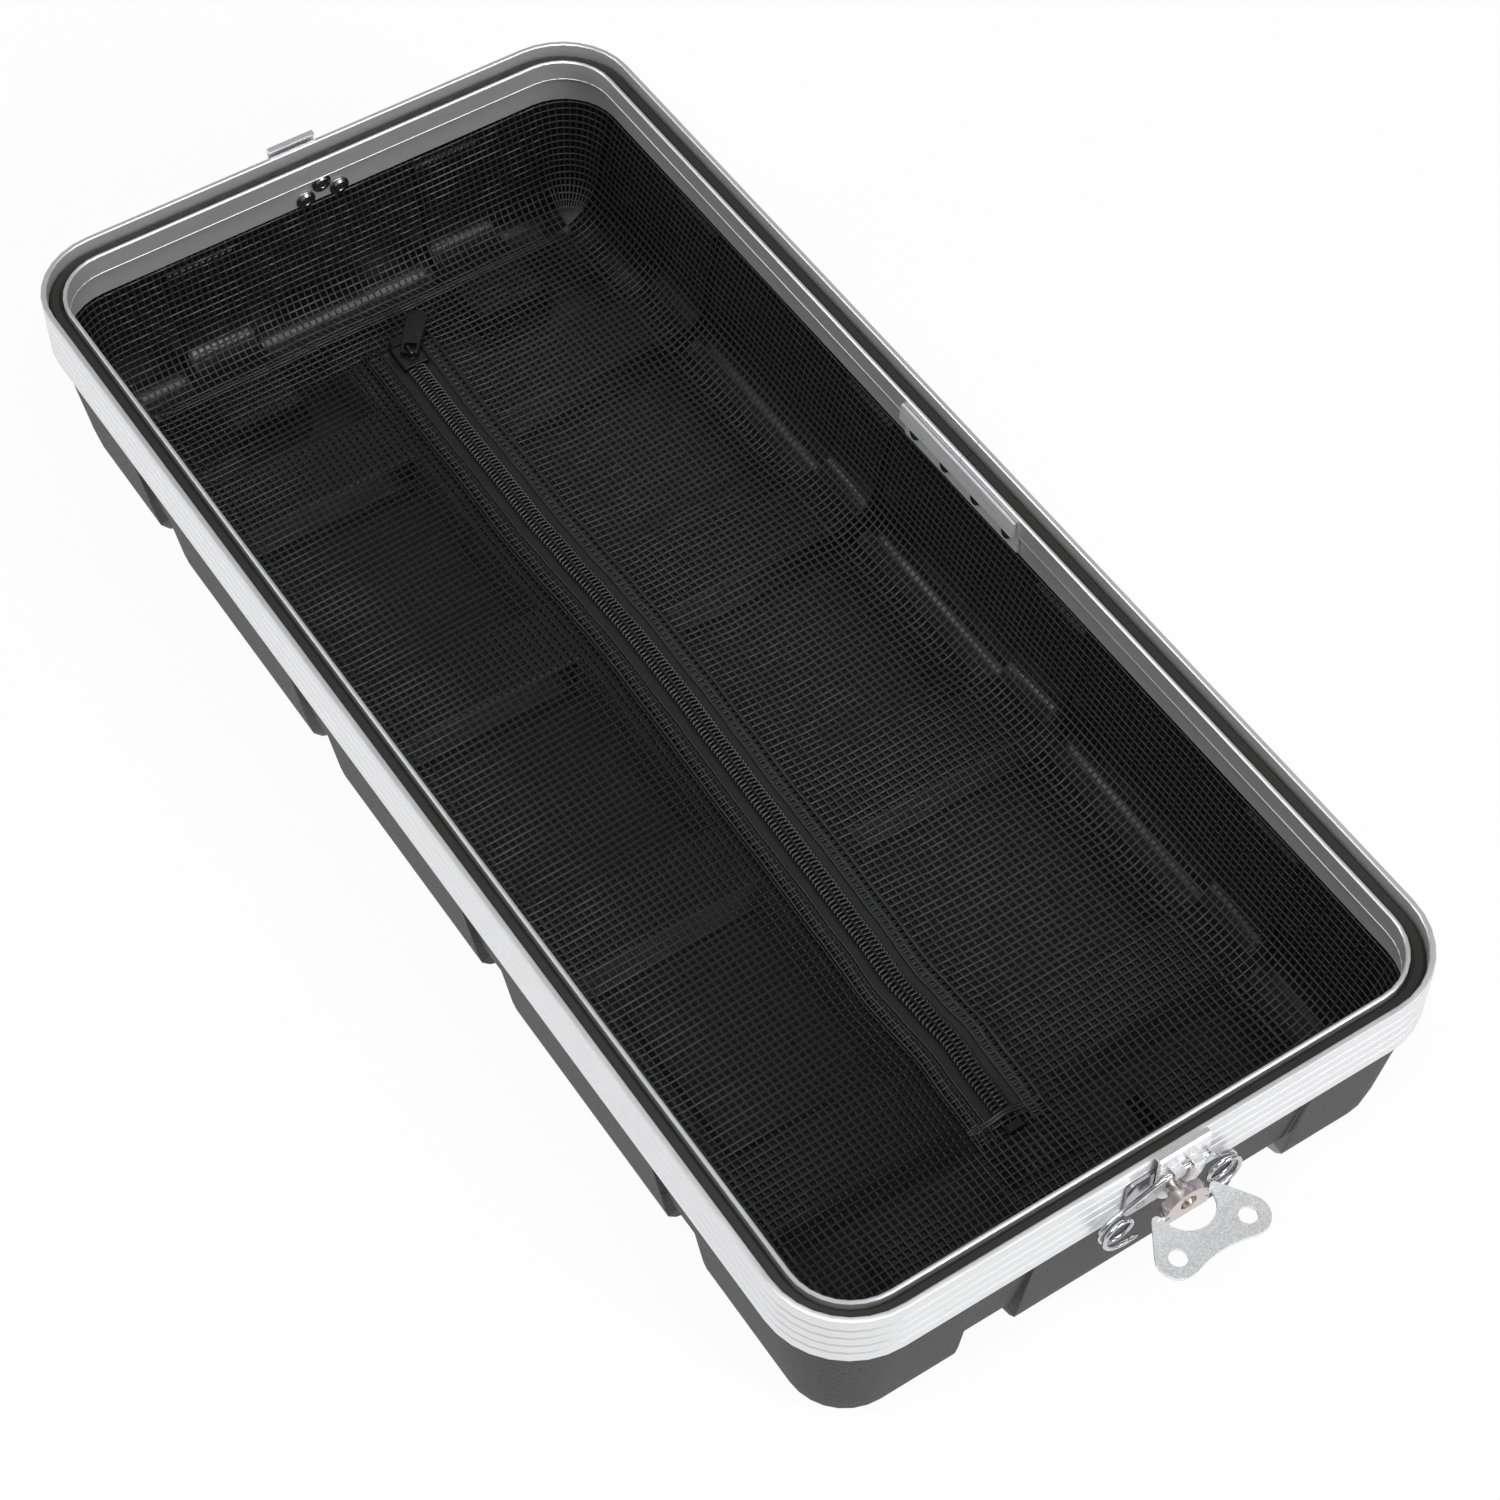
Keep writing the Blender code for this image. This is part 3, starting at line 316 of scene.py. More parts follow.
def finish_mesh(build, name, smooth_faces=False):
    """Turn a bmesh into an object that sits in world coordinates."""
    mesh = bpy.data.meshes.new(name)
    bmesh.ops.recalc_face_normals(build, faces=build.faces)
    build.to_mesh(mesh)
    build.free()
    if smooth_faces:
        mesh.shade_smooth()
    item = bpy.data.objects.new(name, mesh)
    bpy.context.scene.collection.objects.link(item)
    return item


def build_net():
    """Every strand of the net: across, along, up the walls and round the corners."""
    build = bmesh.new()
    profile = net_profile()
    floor_inset = profile[-1][0]
    flat_x = half_length - corner_radius
    flat_y = half_width - corner_radius
    floor_half_x = half_length - floor_inset
    floor_half_y = half_width - floor_inset
    start = Vector((shift_x, 0.0, 0.0))
    slot_low = zip_centre[0] - shift_x - slot_half
    slot_high = zip_centre[0] - shift_x + slot_half

    def place(x, y, z):
        return net_place(x, y, z) + start

    def floor_steps(low, high, step=floor_step):
        count = max(1, round((high - low) / step))
        return [low + (high - low) * index / count for index in range(count + 1)]

    # Strands across, up both long walls.
    columns = int(flat_x / net_pitch)
    for column in range(-columns, columns + 1):
        x = column * net_pitch
        wall = [(half_width - inset, z) for inset, z in profile]
        if slot_low < x < slot_high:
            for sign in (-1, 1):
                inside = floor_steps(sign * net_edge, sign * floor_half_y)
                points = [place(x, y, net_floor) for y in inside]
                points += [place(x, sign * y, z) for y, z in reversed(wall[:-1])]
                strand(build, points, surface_out)
        else:
            points = [place(x, -y, z) for y, z in wall[:-1]]
            points += [place(x, y, net_floor) for y in floor_steps(-floor_half_y, floor_half_y)]
            points += [place(x, y, z) for y, z in reversed(wall[:-1])]
            strand(build, points, surface_out)

    # Strands along, up both end walls.
    rows = int(flat_y / net_pitch)
    for row in range(-rows, rows + 1):
        y = row * net_pitch
        wall = [(half_length - inset, z) for inset, z in profile]
        far = [place(-x, y, z) for x, z in wall[:-1]]
        near = [place(x, y, z) for x, z in reversed(wall[:-1])]
        if abs(y) > net_edge:
            middle = [place(x, y, net_floor) for x in floor_steps(-floor_half_x, floor_half_x)]
            strand(build, far + middle + near, surface_out)
        else:
            left = [place(x, y, net_floor) for x in floor_steps(-floor_half_x, slot_low)]
            right = [place(x, y, net_floor) for x in floor_steps(slot_high, floor_half_x)]
            strand(build, far + left, surface_out)
            strand(build, right + near, surface_out)

    # The hem beside the zip: a second layer of strands half a pitch on, and three rows of stitching.
    fold = Vector((0.0, 0.0, strand_thick))
    column = int(slot_low / net_pitch)
    while column * net_pitch < slot_high:
        x = (column + 0.5) * net_pitch
        if slot_low < x < slot_high:
            for sign in (-1, 1):
                across = floor_steps(net_edge, net_edge + hem_fold, hem_step)
                points = [place(x, sign * y, net_floor) + fold for y in across]
                strand(build, points, surface_out)
        column += 1
    for sign in (-1, 1):
        for offset in (0.0, hem_fold * 0.5, hem_fold):
            y = sign * (net_edge + offset)
            along = floor_steps(slot_low, slot_high, hem_run_step)
            points = [place(x, y, net_floor) + fold for x in along]
            strand(build, points, surface_out, strand_width, strand_thick * stitch_share)

    # Floor strands past the corner centres, which end at the floor's rounded corners.
    floor_corner = corner_radius - floor_inset
    for sign in (-1, 1):
        row = rows + 1
        while row * net_pitch < floor_half_y - edge_clear:
            y = row * net_pitch
            reach = flat_x + math.sqrt(max(floor_corner ** 2 - (y - flat_y) ** 2, 0.0))
            points = [place(x, sign * y, net_floor) for x in floor_steps(-reach, reach)]
            strand(build, points, surface_out)
            row += 1
        column = columns + 1
        while column * net_pitch < floor_half_x - edge_clear:
            x = column * net_pitch
            reach = flat_y + math.sqrt(max(floor_corner ** 2 - (x - flat_x) ** 2, 0.0))
            points = [place(sign * x, y, net_floor) for y in floor_steps(-reach, reach)]
            strand(build, points, surface_out)
            column += 1

    # Corner strands, from the top edge down to the floor.
    for sign_x in (-1, 1):
        for sign_y in (-1, 1):
            for index in range(1, corner_strands):
                turn = 0.5 * math.pi * index / corner_strands
                points = []
                for inset, z in profile:
                    radius = corner_radius - inset
                    x = sign_x * (flat_x + radius * math.cos(turn))
                    y = sign_y * (flat_y + radius * math.sin(turn))
                    points.append(place(x, y, z))
                strand(build, points, surface_out)

    # Rings round the walls.
    lengths = [0.0]
    for first, second in zip(profile, profile[1:]):
        lengths.append(lengths[-1] + math.dist(first, second))
    level = net_pitch * first_ring_share
    while level < lengths[-1] - net_pitch * 0.5:
        for index in range(len(lengths) - 1):
            if lengths[index] <= level <= lengths[index + 1]:
                share = (level - lengths[index]) / (lengths[index + 1] - lengths[index])
                inset = profile[index][0] + share * (profile[index + 1][0] - profile[index][0])
                z = profile[index][1] + share * (profile[index + 1][1] - profile[index][1])
                break
        radius = corner_radius - inset
        points = []
        for corner, (sign_x, sign_y) in enumerate(((1, 1), (-1, 1), (-1, -1), (1, -1))):
            for step in range(ring_arc_steps + 1):
                turn = (corner + step / ring_arc_steps) * 0.5 * math.pi
                x = sign_x * flat_x + radius * math.cos(turn)
                points.append((x, sign_y * flat_y + radius * math.sin(turn)))
            after = ((-1, 1), (-1, -1), (1, -1), (1, 1))[corner]
            last = points[-1]
            turn = (corner + 1) * 0.5 * math.pi
            target_x = after[0] * flat_x + radius * math.cos(turn)
            target = (target_x, after[1] * flat_y + radius * math.sin(turn))
            count = int(math.dist(last, target) / ring_step)
            for step in range(1, count):
                share = step / count
                x = last[0] + (target[0] - last[0]) * share
                points.append((x, last[1] + (target[1] - last[1]) * share))
        points.append(points[0])
        strand(build, [place(x, y, z) for x, y in points], surface_out)
        level += net_pitch
    return finish_mesh(build, "liner_net", True)


def zip_point(u, v, z):
    """World place of a point at u along the zip, v across it, at a height."""
    slope = (zip_wave(u + slope_step) - zip_wave(u - slope_step)) / (2 * slope_step)
    turn = math.atan(slope)
    x = u - v * math.sin(turn)
    y = zip_wave(u) + v * math.cos(turn)
    cos_skew = math.cos(zip_skew)
    sin_skew = math.sin(zip_skew)
    place_x = zip_centre[0] + x * cos_skew - y * sin_skew
    return Vector((place_x, zip_centre[1] + x * sin_skew + y * cos_skew, z))


def build_tape(name, low_v, high_v):
    """A tape that follows the zip, between two offsets, with a slight crown."""
    build = bmesh.new()
    count = round(2 * tape_half / tape_step)
    rings = []
    for index in range(count + 1):
        u = -tape_half + 2 * tape_half * index / count
        ring = []
        for column in range(tape_columns + 1):
            share = column / tape_columns
            v = low_v + (high_v - low_v) * share
            lift = tape_crown * math.sin(math.pi * share)
            ring.append(build.verts.new(zip_point(u, v, net_floor + tape_over + lift)))
        for column in range(tape_columns, -1, -1):
            share = column / tape_columns
            v = low_v + (high_v - low_v) * share
            ring.append(build.verts.new(zip_point(u, v, net_floor + tape_under)))
        rings.append(ring)
    for first, second in zip(rings, rings[1:]):
        for index in range(len(first)):
            after = (index + 1) % len(first)
            build.faces.new((first[index], first[after], second[after], second[index]))
    build.faces.new(rings[0])
    build.faces.new(list(reversed(rings[-1])))
    return finish_mesh(build, name)


def tube(build, points, radius, sides):
    """A round tube through points."""
    rings = []
    for index, point in enumerate(points):
        before = points[max(index - 1, 0)]
        after = points[min(index + 1, len(points) - 1)]
        run = (after - before).normalized()
        side = run.cross(Vector((0.0, 0.0, 1.0)))
        if side.length < least_side:
            side = run.cross(Vector((1.0, 0.0, 0.0)))
        side.normalize()
        up = side.cross(run)
        ring = []
        for corner in range(sides):
            turn = 2 * math.pi * corner / sides
            ring.append(build.verts.new(point + (side * math.cos(turn) + up * math.sin(turn)) * radius))
        rings.append(ring)
    for first, second in zip(rings, rings[1:]):
        for index in range(sides):
            after = (index + 1) % sides
            build.faces.new((first[index], first[after], second[after], second[index]))
    build.faces.new(rings[0])
    build.faces.new(list(reversed(rings[-1])))


def build_chain():
    """The interlocked coils: two wires that loop across the middle, half a pitch apart."""
    build = bmesh.new()
    low = net_floor + coil_base
    for side in (-1, 1):
        points = []
        turns = int(2 * (tape_half - coil_end) / chain_pitch)
        start = -tape_half + coil_end + (chain_pitch / 2 if side > 0 else 0.0)
        for index in range(turns * coil_steps):
            phase = index / coil_steps
            turn = 2 * math.pi * phase
            u = start + chain_pitch * phase
            middle = side * chain_half * coil_middle_share
            reach = chain_half * coil_reach_share
            v = middle - side * reach * math.cos(turn)
            z = low + coil_lift * 0.5 + coil_lift * 0.5 * math.sin(turn)
            if u > tape_half - coil_stop:
                break
            points.append(zip_point(u, v, z))
        tube(build, points, wire_radius, coil_sides)
    return finish_mesh(build, "zip_coil", True)


def patch_place(u, v, lift):
    """A point of the net patch that covers the near end of the zip."""
    rise = patch_rise * math.exp(-((v / chain_half) ** 2) * patch_sharp)
    rise *= smooth((tape_half + patch_lead - u) / patch_ease)
    return zip_point(u, v, net_floor + patch_over + rise + lift)


def build_patch():
    """The doubled net over the near end of the zip, with a stitched fold along its edge."""
    build = bmesh.new()
    low, high = patch_span
    rows = int(patch_half / net_pitch)

    def across(u, lift):
        steps = range(patch_across + 1)
        return [patch_place(u, -patch_half + 2 * patch_half * step / patch_across, lift) for step in steps]

    for row in range(-rows, rows + 1):
        v = row * net_pitch
        steps = range(patch_along + 1)
        points = [patch_place(low + (high - low) * step / patch_along, v, 0.0) for step in steps]
        strand(build, points, surface_out)
    columns = int((high - low) / net_pitch)
    for column in range(columns + 1):
        strand(build, across(low + column * net_pitch, 0.0), surface_out)
    for inset in (0.0, patch_seam):
        points = across(low + inset, strand_thick)
        strand(build, points, surface_out, strand_width * seam_share, strand_thick * seam_share)
    return finish_mesh(build, "end_patch_net", True)


def build_bead():
    """The bright bead along the lower edge of the frame's inner lip, open behind the splice plate."""
    build = bmesh.new()
    radius = corner_radius - bead_inset
    flat_x = half_length - corner_radius
    flat_y = half_width - corner_radius
    points = [Vector((splice_half, flat_y + radius, 0.0))]
    for corner, (sign_x, sign_y) in enumerate(((1, 1), (1, -1), (-1, -1), (-1, 1))):
        for step in range(bead_steps + 1):
            turn = (1 - corner - step / bead_steps) * 0.5 * math.pi
            x = sign_x * flat_x + radius * math.cos(turn)
            points.append(Vector((x, sign_y * flat_y + radius * math.sin(turn), 0.0)))
    points.append(Vector((-splice_half, flat_y + radius, 0.0)))
    lift = Vector((shift_x, 0.0, bead_level))
    tube(build, [point + lift for point in points], bead_radius, bead_sides)
    return finish_mesh(build, "frame_bead", True)


def build_flange(node, inward):
    """The wide rolled flange of a hollow rivet, on the inside of the frame."""
    low, high = (Vector(corner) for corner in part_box(node))
    middle = (low + high) / 2
    face = high.x if inward > 0 else low.x
    foot = face - inward * flange_height
    build = bmesh.new()
    loops = []
    for radius, height in flange_rings:
        loop = []
        for index in range(flange_sides):
            turn = 2 * math.pi * index / flange_sides
            place = (foot + inward * height, middle.y + radius * math.cos(turn),
                     middle.z + radius * math.sin(turn))
            loop.append(build.verts.new(place))
        loops.append(loop)
    for first, second in zip(loops, loops[1:]):
        for index in range(flange_sides):
            after = (index + 1) % flange_sides
            build.faces.new((first[index], first[after], second[after], second[index]))
    build.faces.new(loops[0])
    build.faces.new(loops[-1])
    return finish_mesh(build, node + "_flange", True)


def node_link(material):
    """A material's nodes and links."""
    return material.node_tree.nodes, material.node_tree.links


def base_material(name, colour, roughness, metallic=0.0, **sockets):
    """A Principled material with plain sockets set."""
    material = bpy.data.materials.new(name)
    material.use_nodes = True
    shader = material.node_tree.nodes["Principled BSDF"]
    shader.inputs["Base Color"].default_value = (*colour, 1.0)
    shader.inputs["Roughness"].default_value = roughness
    shader.inputs["Metallic"].default_value = metallic
    for key, value in sockets.items():
        shader.inputs[key.replace("_", " ")].default_value = value
    return material


def add_texture(material, kind, scale, **values):
    """A texture node on object coordinates."""
    nodes, links = node_link(material)
    texture = nodes.new(kind)
    coords = nodes.new("ShaderNodeTexCoord")
    mapping = nodes.new("ShaderNodeMapping")
    mapping.inputs["Scale"].default_value = scale
    texture.inputs["Scale"].default_value = 1.0
    links.new(coords.outputs["Object"], mapping.inputs["Vector"])
    links.new(mapping.outputs["Vector"], texture.inputs["Vector"])
    for key, value in values.items():
        texture.inputs[key.replace("_", " ")].default_value = value
    return texture


def add_bump(material, height, strength, distance, previous=None):
    """A bump from a height socket, chained before the shader's normal."""
    nodes, links = node_link(material)
    bump = nodes.new("ShaderNodeBump")
    bump.inputs["Strength"].default_value = strength
    bump.inputs["Distance"].default_value = distance
    links.new(height, bump.inputs["Height"])
    if previous is not None:
        links.new(previous.outputs["Normal"], bump.inputs["Normal"])
    links.new(bump.outputs["Normal"], nodes["Principled BSDF"].inputs["Normal"])
    return bump


def add_ramp(material, source, target, low, high, ends=(0.3, 0.7)):
    """Map a texture's value to a socket between two values or colours."""
    nodes, links = node_link(material)
    if isinstance(low, tuple):
        ramp = nodes.new("ShaderNodeMix")
        ramp.data_type = "RGBA"
        spread = nodes.new("ShaderNodeMapRange")
        spread.inputs["From Min"].default_value, spread.inputs["From Max"].default_value = ends
        links.new(source, spread.inputs["Value"])
        links.new(spread.outputs["Result"], ramp.inputs[0])
        ramp.inputs[6].default_value = (*low, 1.0)
        ramp.inputs[7].default_value = (*high, 1.0)
        links.new(ramp.outputs[2], nodes["Principled BSDF"].inputs[target])
    else:
        ramp = nodes.new("ShaderNodeMapRange")
        ramp.inputs["From Min"].default_value, ramp.inputs["From Max"].default_value = ends
        ramp.inputs["To Min"].default_value = low
        ramp.inputs["To Max"].default_value = high
        links.new(source, ramp.inputs["Value"])
        links.new(ramp.outputs["Result"], nodes["Principled BSDF"].inputs[target])


def shell_material():
    """Moulded plastic: smooth and glossy inside, with a dull leather grain outside; the inside's darker
    colour is painted shade of the tray's hollow.
    """
    material = base_material("shell_grain_and_painted_shade", (0.010, 0.010, 0.011), 0.30)
    nodes, links = node_link(material)
    shader = nodes["Principled BSDF"]
    place = nodes.new("ShaderNodeNewGeometry")
    from_middle = nodes.new("ShaderNodeVectorMath")
    from_middle.operation = "SUBTRACT"
    from_middle.inputs[1].default_value = (shift_x, 0.0, shell_middle)
    links.new(place.outputs["Position"], from_middle.inputs[0])
    facing = nodes.new("ShaderNodeVectorMath")
    facing.operation = "DOT_PRODUCT"
    links.new(from_middle.outputs["Vector"], facing.inputs[0])
    links.new(place.outputs["True Normal"], facing.inputs[1])
    outside = nodes.new("ShaderNodeMapRange")
    outside.inputs["From Min"].default_value = -shell_side
    outside.inputs["From Max"].default_value = shell_side
    links.new(facing.outputs["Value"], outside.inputs["Value"])
    grain = add_texture(material, "ShaderNodeTexVoronoi", (950, 950, 950), Randomness=1.0)
    grain.feature = "SMOOTH_F1"
    broad = add_texture(material, "ShaderNodeTexNoise", (420, 420, 420), Detail=5.0, Roughness=0.65)
    edge = nodes.new("ShaderNodeBevel")
    edge.samples = 6
    edge.inputs["Radius"].default_value = shell_edge
    first = add_bump(material, grain.outputs["Distance"], 0.5, grain_depth)
    links.new(edge.outputs["Normal"], first.inputs["Normal"])
    second = add_bump(material, broad.outputs["Fac"], 0.5, broad_depth, first)
    for bump in (first, second):
        amount = nodes.new("ShaderNodeMath")
        amount.operation = "MULTIPLY"
        amount.inputs[1].default_value = shell_bump
        links.new(outside.outputs["Result"], amount.inputs[0])
        links.new(amount.outputs["Value"], bump.inputs["Strength"])
    # Painted shade: inward faces take a darker colour than outward ones, standing in for the shade inside
    # the tray.
    colour = nodes.new("ShaderNodeMix")
    colour.data_type = "RGBA"
    colour.inputs[6].default_value = (0.009, 0.009, 0.0095, 1.0)
    colour.inputs[7].default_value = (0.036, 0.036, 0.037, 1.0)
    links.new(outside.outputs["Result"], colour.inputs[0])
    links.new(colour.outputs[2], shader.inputs["Base Color"])
    dull = nodes.new("ShaderNodeMapRange")
    dull.inputs["To Min"].default_value = 0.24
    dull.inputs["To Max"].default_value = 0.62
    links.new(outside.outputs["Result"], dull.inputs["Value"])
    links.new(dull.outputs["Result"], shader.inputs["Roughness"])
    return material


def metal_material(name, colour, rough, scale, spread, bump, metallic):
    """Metal with fine directional marks."""
    material = base_material(name, colour, rough, metallic)
    marks = add_texture(material, "ShaderNodeTexNoise", scale, Detail=5.0, Roughness=0.65)
    add_ramp(material, marks.outputs["Fac"], "Roughness", rough - spread, rough + spread)
    dark = tuple(value * 0.9 for value in colour)
    add_ramp(material, marks.outputs["Fac"], "Base Color", dark, colour)
    add_bump(material, marks.outputs["Fac"], bump, mark_depth)
    return material


def zinc_material(name, colour, rough, metallic):
    """Spangled zinc plate."""
    material = base_material(name, colour, rough, metallic)
    spangle = add_texture(material, "ShaderNodeTexVoronoi", (2300, 2300, 2300), Randomness=1.0)
    split = material.node_tree.nodes.new("ShaderNodeSeparateColor")
    material.node_tree.links.new(spangle.outputs["Color"], split.inputs["Color"])
    dark = tuple(value * 0.84 for value in colour)
    add_ramp(material, split.outputs["Red"], "Base Color", dark, colour, (0.1, 0.7))
    add_ramp(material, split.outputs["Green"], "Roughness", rough - 0.08, rough + 0.12, (0.0, 1.0))
    scuff = add_texture(material, "ShaderNodeTexNoise", (900, 900, 900), Detail=4.0)
    add_bump(material, scuff.outputs["Fac"], 0.08, mark_depth)
    return material


def cloth_material(name, colour, rough, scale, strength):
    """Woven tape."""
    material = base_material(name, colour, rough)
    weave = add_texture(material, "ShaderNodeTexWave", scale, Distortion=0.6, Detail=1.0)
    fuzz = add_texture(material, "ShaderNodeTexNoise", (1500, 1500, 1500), Detail=2.0)
    first = add_bump(material, weave.outputs["Fac"], strength, mark_depth)
    add_bump(material, fuzz.outputs["Fac"], 0.2, fuzz_depth, first)
    add_ramp(material, fuzz.outputs["Fac"], "Base Color", tuple(value * 0.75 for value in colour), colour)
    return material


def dress(node, material):
    """Give a CAD node a new material."""
    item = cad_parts[node]
    item.data.materials.clear()
    item.data.materials.append(material)


def soften(node, width=0.00025, segments=2):
    """Round a CAD node's hard edges a little."""
    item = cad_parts[node]
    bevel = item.modifiers.new("edge", "BEVEL")
    bevel.width = width
    bevel.segments = segments
    bevel.limit_method = "ANGLE"
    bevel.angle_limit = bevel_turn
    bevel.harden_normals = False


def smooth_group():
    """A node group that shades a mesh smooth except across sharp edges."""
    group = bpy.data.node_groups.new("smooth_by_angle", "GeometryNodeTree")
    group.interface.new_socket("Geometry", in_out="INPUT", socket_type="NodeSocketGeometry")
    group.interface.new_socket("Geometry", in_out="OUTPUT", socket_type="NodeSocketGeometry")
    nodes = group.nodes
    links = group.links
    start = nodes.new("NodeGroupInput")
    end = nodes.new("NodeGroupOutput")
    angle = nodes.new("GeometryNodeInputMeshEdgeAngle")
    soft = nodes.new("FunctionNodeCompare")
    soft.data_type = "FLOAT"
    soft.operation = "LESS_THAN"
    soft.inputs[1].default_value = sharp_turn
    faces = nodes.new("GeometryNodeSetShadeSmooth")
    faces.domain = "FACE"
    edges = nodes.new("GeometryNodeSetShadeSmooth")
    edges.domain = "EDGE"
    links.new(start.outputs[0], faces.inputs["Geometry"])
    links.new(faces.outputs[0], edges.inputs["Geometry"])
    links.new(angle.outputs["Unsigned Angle"], soft.inputs[0])
    links.new(soft.outputs[0], edges.inputs["Shade Smooth"])
    links.new(edges.outputs[0], end.inputs[0])
    return group


def shade(node, group):
    """Shade a CAD node smooth over its gentle edges, with the flat faces kept flat."""
    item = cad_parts[node]
    item.modifiers.new("smooth", "NODES").node_group = group
    weighted = item.modifiers.new("weighted", "WEIGHTED_NORMAL")
    weighted.keep_sharp = True


def build_camera():
    """The camera at the photograph's viewing angle."""
    flat = math.cos(camera_elevation)
    back = Vector((math.sin(camera_azimuth) * flat, -math.cos(camera_azimuth) * flat,
                   math.sin(camera_elevation)))
    right = Vector((math.cos(camera_azimuth), math.sin(camera_azimuth), 0.0))
    up = back.cross(right)
    turned_right = right * math.cos(camera_roll) + up * math.sin(camera_roll)
    turned_up = up * math.cos(camera_roll) - right * math.sin(camera_roll)
    data = bpy.data.cameras.new("camera")
    data.sensor_width = sensor_width
    data.lens = photo_focal / photo_pixels * sensor_width
    data.clip_start, data.clip_end = camera_clip
    camera = bpy.data.objects.new("camera", data)
    turn = Matrix((turned_right, turned_up, back)).transposed()
    camera.matrix_world = Matrix.Translation(camera_target + back * camera_distance) @ turn.to_4x4()
    bpy.context.scene.collection.objects.link(camera)
    bpy.context.scene.camera = camera


def build_stage():
    """A white floor that keeps a faint shadow, three soft lamps and a dim world."""
    build = bmesh.new()
    bmesh.ops.create_grid(build, x_segments=1, y_segments=1, size=floor_half)
    floor = finish_mesh(build, "floor")
    floor.location.z = -floor_drop
    material = bpy.data.materials.new("floor_white")
    material.use_nodes = True
    nodes, links = node_link(material)
    shader = nodes["Principled BSDF"]
    shader.inputs["Base Color"].default_value = (0.85, 0.85, 0.85, 1.0)
    shader.inputs["Roughness"].default_value = 0.9
    glow = nodes.new("ShaderNodeEmission")
    glow.inputs["Strength"].default_value = 1.0
    path = nodes.new("ShaderNodeLightPath")
    seen = nodes.new("ShaderNodeMath")
    seen.operation = "MAXIMUM"
    links.new(path.outputs["Is Camera Ray"], seen.inputs[0])
    links.new(path.outputs["Is Glossy Ray"], seen.inputs[1])
    share = nodes.new("ShaderNodeMath")
    share.operation = "MULTIPLY"
    share.inputs[1].default_value = floor_glow
    links.new(seen.outputs["Value"], share.inputs[0])
    mix = nodes.new("ShaderNodeMixShader")
    links.new(share.outputs["Value"], mix.inputs[0])
    links.new(shader.outputs[0], mix.inputs[1])
    links.new(glow.outputs[0], mix.inputs[2])
    links.new(mix.outputs[0], nodes["Material Output"].inputs["Surface"])
    floor.data.materials.append(material)
    world = bpy.data.worlds.new("world")
    world.use_nodes = True
    sky = world.node_tree.nodes["Background"]
    sky.inputs["Color"].default_value = (1.0, 1.0, 1.0, 1.0)
    sky.inputs["Strength"].default_value = world_strength
    bpy.context.scene.world = world
    for name, toward, size, power in lamps:
        light = bpy.data.lights.new(name, "AREA")
        light.energy = power
        light.size = size
        item = bpy.data.objects.new(name, light)
        item.location = Vector(toward).normalized() * lamp_distance
        item.rotation_euler = (-Vector(toward)).to_track_quat("-Z", "Y").to_euler()
        bpy.context.scene.collection.objects.link(item)


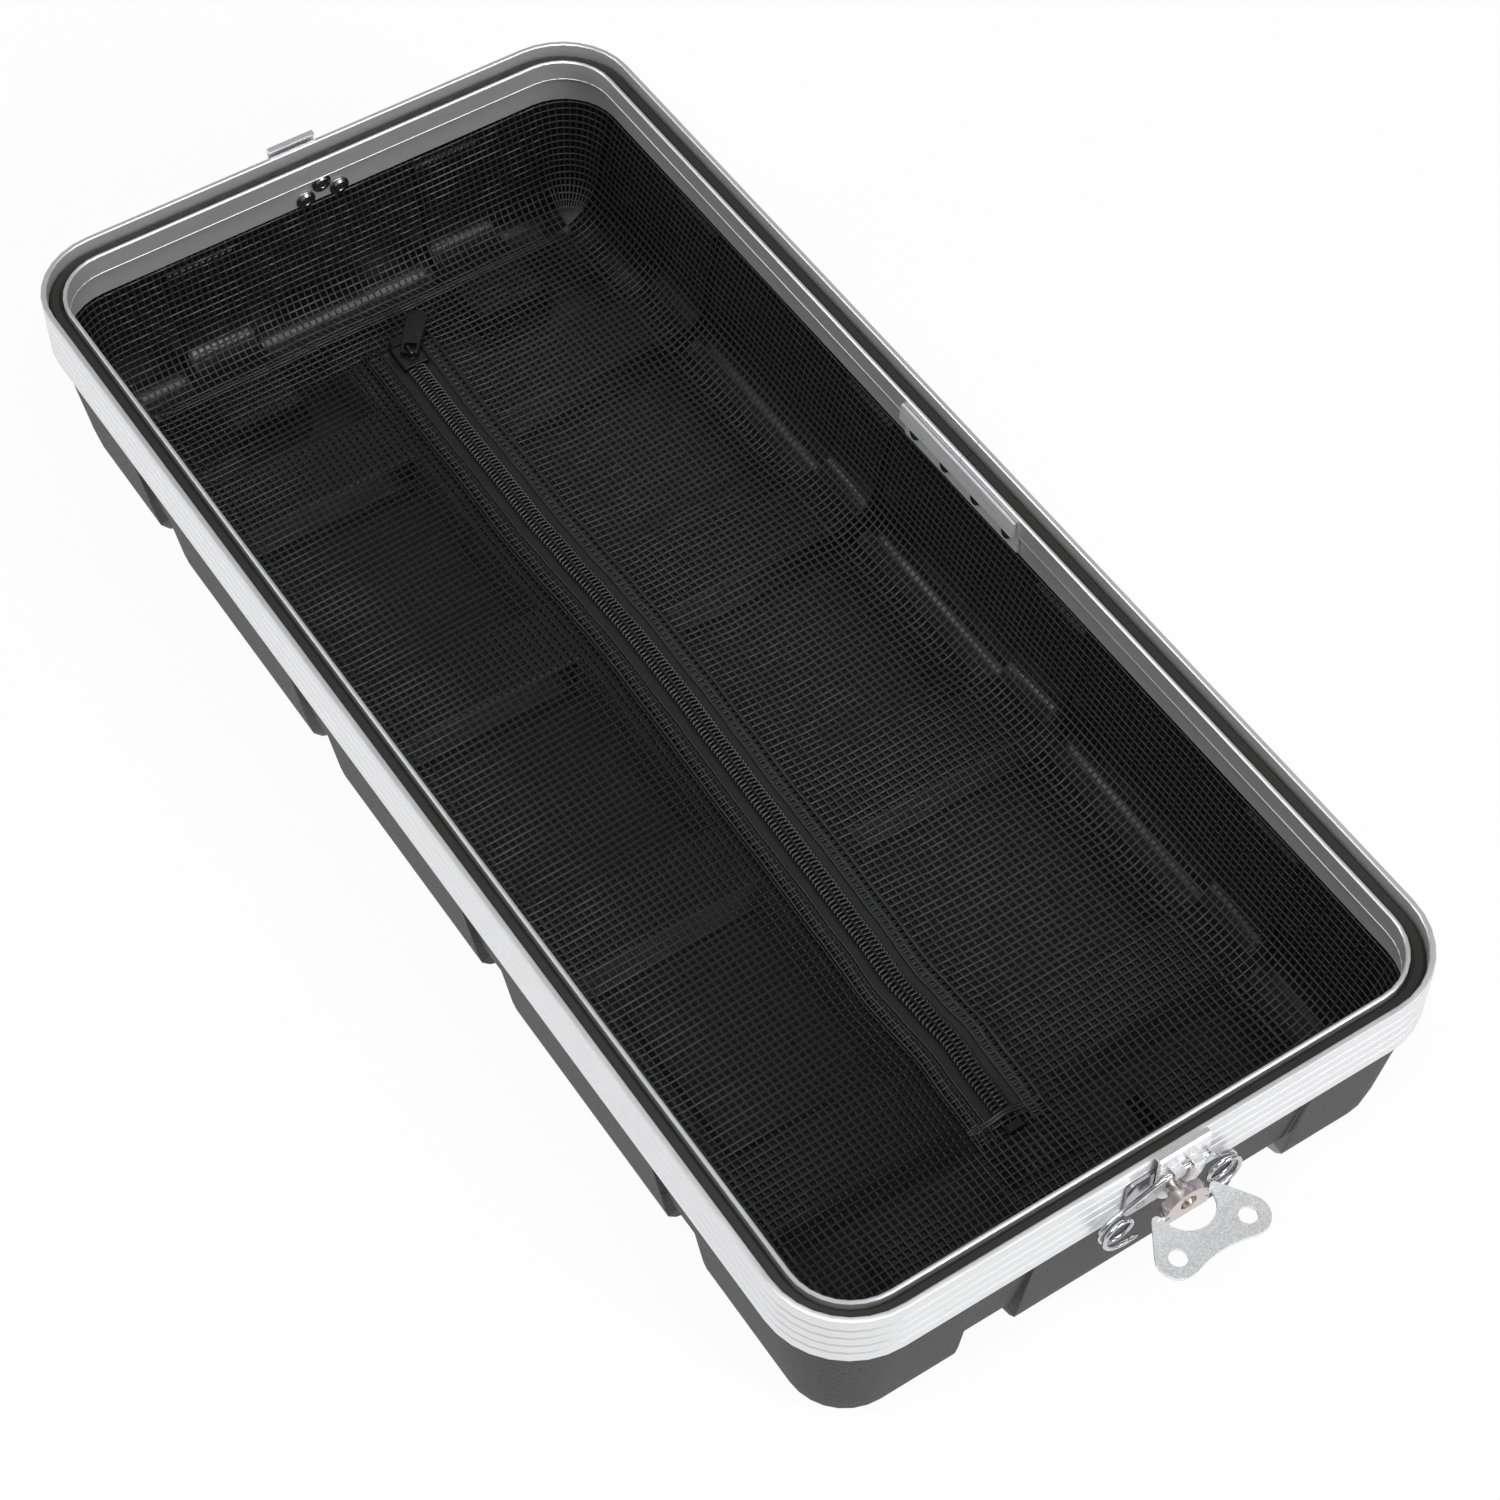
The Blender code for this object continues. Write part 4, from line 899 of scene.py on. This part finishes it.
def dress_model():
    """Materials for every CAD node, and softened edges on the metal pieces."""
    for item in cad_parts.values():
        item.modifiers.new("join", "WELD").merge_threshold = weld_reach
    shell = shell_material()
    made = {name: metal_material(name, *values) for name, values in metals.items()}
    rubber = base_material("gasket_rubber", (0.020, 0.019, 0.018), 0.55)
    bloom = add_texture(rubber, "ShaderNodeTexNoise", (300, 300, 300), Detail=3.0)
    add_ramp(rubber, bloom.outputs["Fac"], "Roughness", 0.45, 0.65)
    add_bump(rubber, bloom.outputs["Fac"], 0.12, mark_depth)
    zinc = zinc_material("wing_zinc", (0.86, 0.87, 0.88), 0.38, 0.7)
    pull = base_material("zip_black", (0.012, 0.012, 0.013), 0.30, 0.5)
    wear = add_texture(pull, "ShaderNodeTexNoise", (700, 700, 700), Detail=4.0)
    add_ramp(pull, wear.outputs["Fac"], "Roughness", 0.24, 0.42)
    add_bump(pull, wear.outputs["Fac"], 0.05, mark_depth)
    dress("shell", shell)
    dress("frame_extrusion", made["frame_satin"])
    dress("splice_plate", made["splice_mill_and_highlight"])
    dress("gasket", rubber)
    for index in range(1, 5):
        dress("splice_rivet_" + str(index), made["rivet_dark"])
    for node in ("zip_slider", "zip_pull", "zip_stop_far", "zip_stop_near"):
        dress(node, pull)
        soften(node, 0.0004, 3)
    for end in ("near", "far"):
        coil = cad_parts[end + "_latch_spring"]
        round_off = coil.modifiers.new("round", "SUBSURF")
        round_off.levels = 2
        round_off.render_levels = 2
        finishes = {"base": made["base_chrome"], "cam": made["cam_nickel"],
                    "cam_rivet": made["rivet_copper"], "hook": made["hook_zinc"],
                    "spring": made["spring_wire"], "wing": zinc}
        for side in ("left", "right", "top"):
            finishes["rivet_" + side] = made["rivet_dark"]
        for piece, finish in finishes.items():
            dress(end + "_latch_" + piece, finish)
        for piece in ("base", "cam", "hook", "wing"):
            soften(end + "_latch_" + piece)
    group = smooth_group()
    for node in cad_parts:
        shade(node, group)


def build_soft():
    """The net liner and the zip's cloth and coils."""
    net_stuff = cloth_material("net_strand", (0.024, 0.024, 0.025), 0.30, (1300, 1300, 1300), 0.35)
    tape_stuff = cloth_material("tape_weave", (0.006, 0.006, 0.0065), 0.75, (1400, 1400, 1400), 0.3)
    coil_stuff = base_material("coil_nylon", (0.012, 0.012, 0.013), 0.24)
    net = build_net()
    net.data.materials.append(net_stuff)
    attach(net, "case")
    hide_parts("mesh_liner")
    for name, sign in (("left", -1), ("right", 1)):
        low, high = sorted((sign * tape_inner, sign * tape_outer))
        tape = build_tape("tape_" + name, low, high)
        tape.data.materials.append(tape_stuff)
        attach(tape, "case")
        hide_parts("zip_tape_" + name)
    chain = build_chain()
    chain.data.materials.append(coil_stuff)
    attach(chain, "case")
    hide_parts("zip_chain")
    patch = build_patch()
    patch.data.materials.append(net_stuff)
    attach(patch, "case")
    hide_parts("zip_end_patch")


def build_frame_details():
    """The frame's inner bead and the rivets' flanges."""
    bead = build_bead()
    bead.data.materials.append(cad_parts["frame_extrusion"].data.materials[0])
    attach(bead, "case")
    for end, inward in (("near", -1), ("far", 1)):
        for side in ("left", "right", "top"):
            node = end + "_latch_rivet_" + side
            flange = build_flange(node, inward)
            flange.data.materials.append(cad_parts[node].data.materials[0])
            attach(flange, "case")


build_camera()
build_stage()
dress_model()
build_frame_details()
build_soft()
bpy.context.scene.view_settings.view_transform = "Standard"
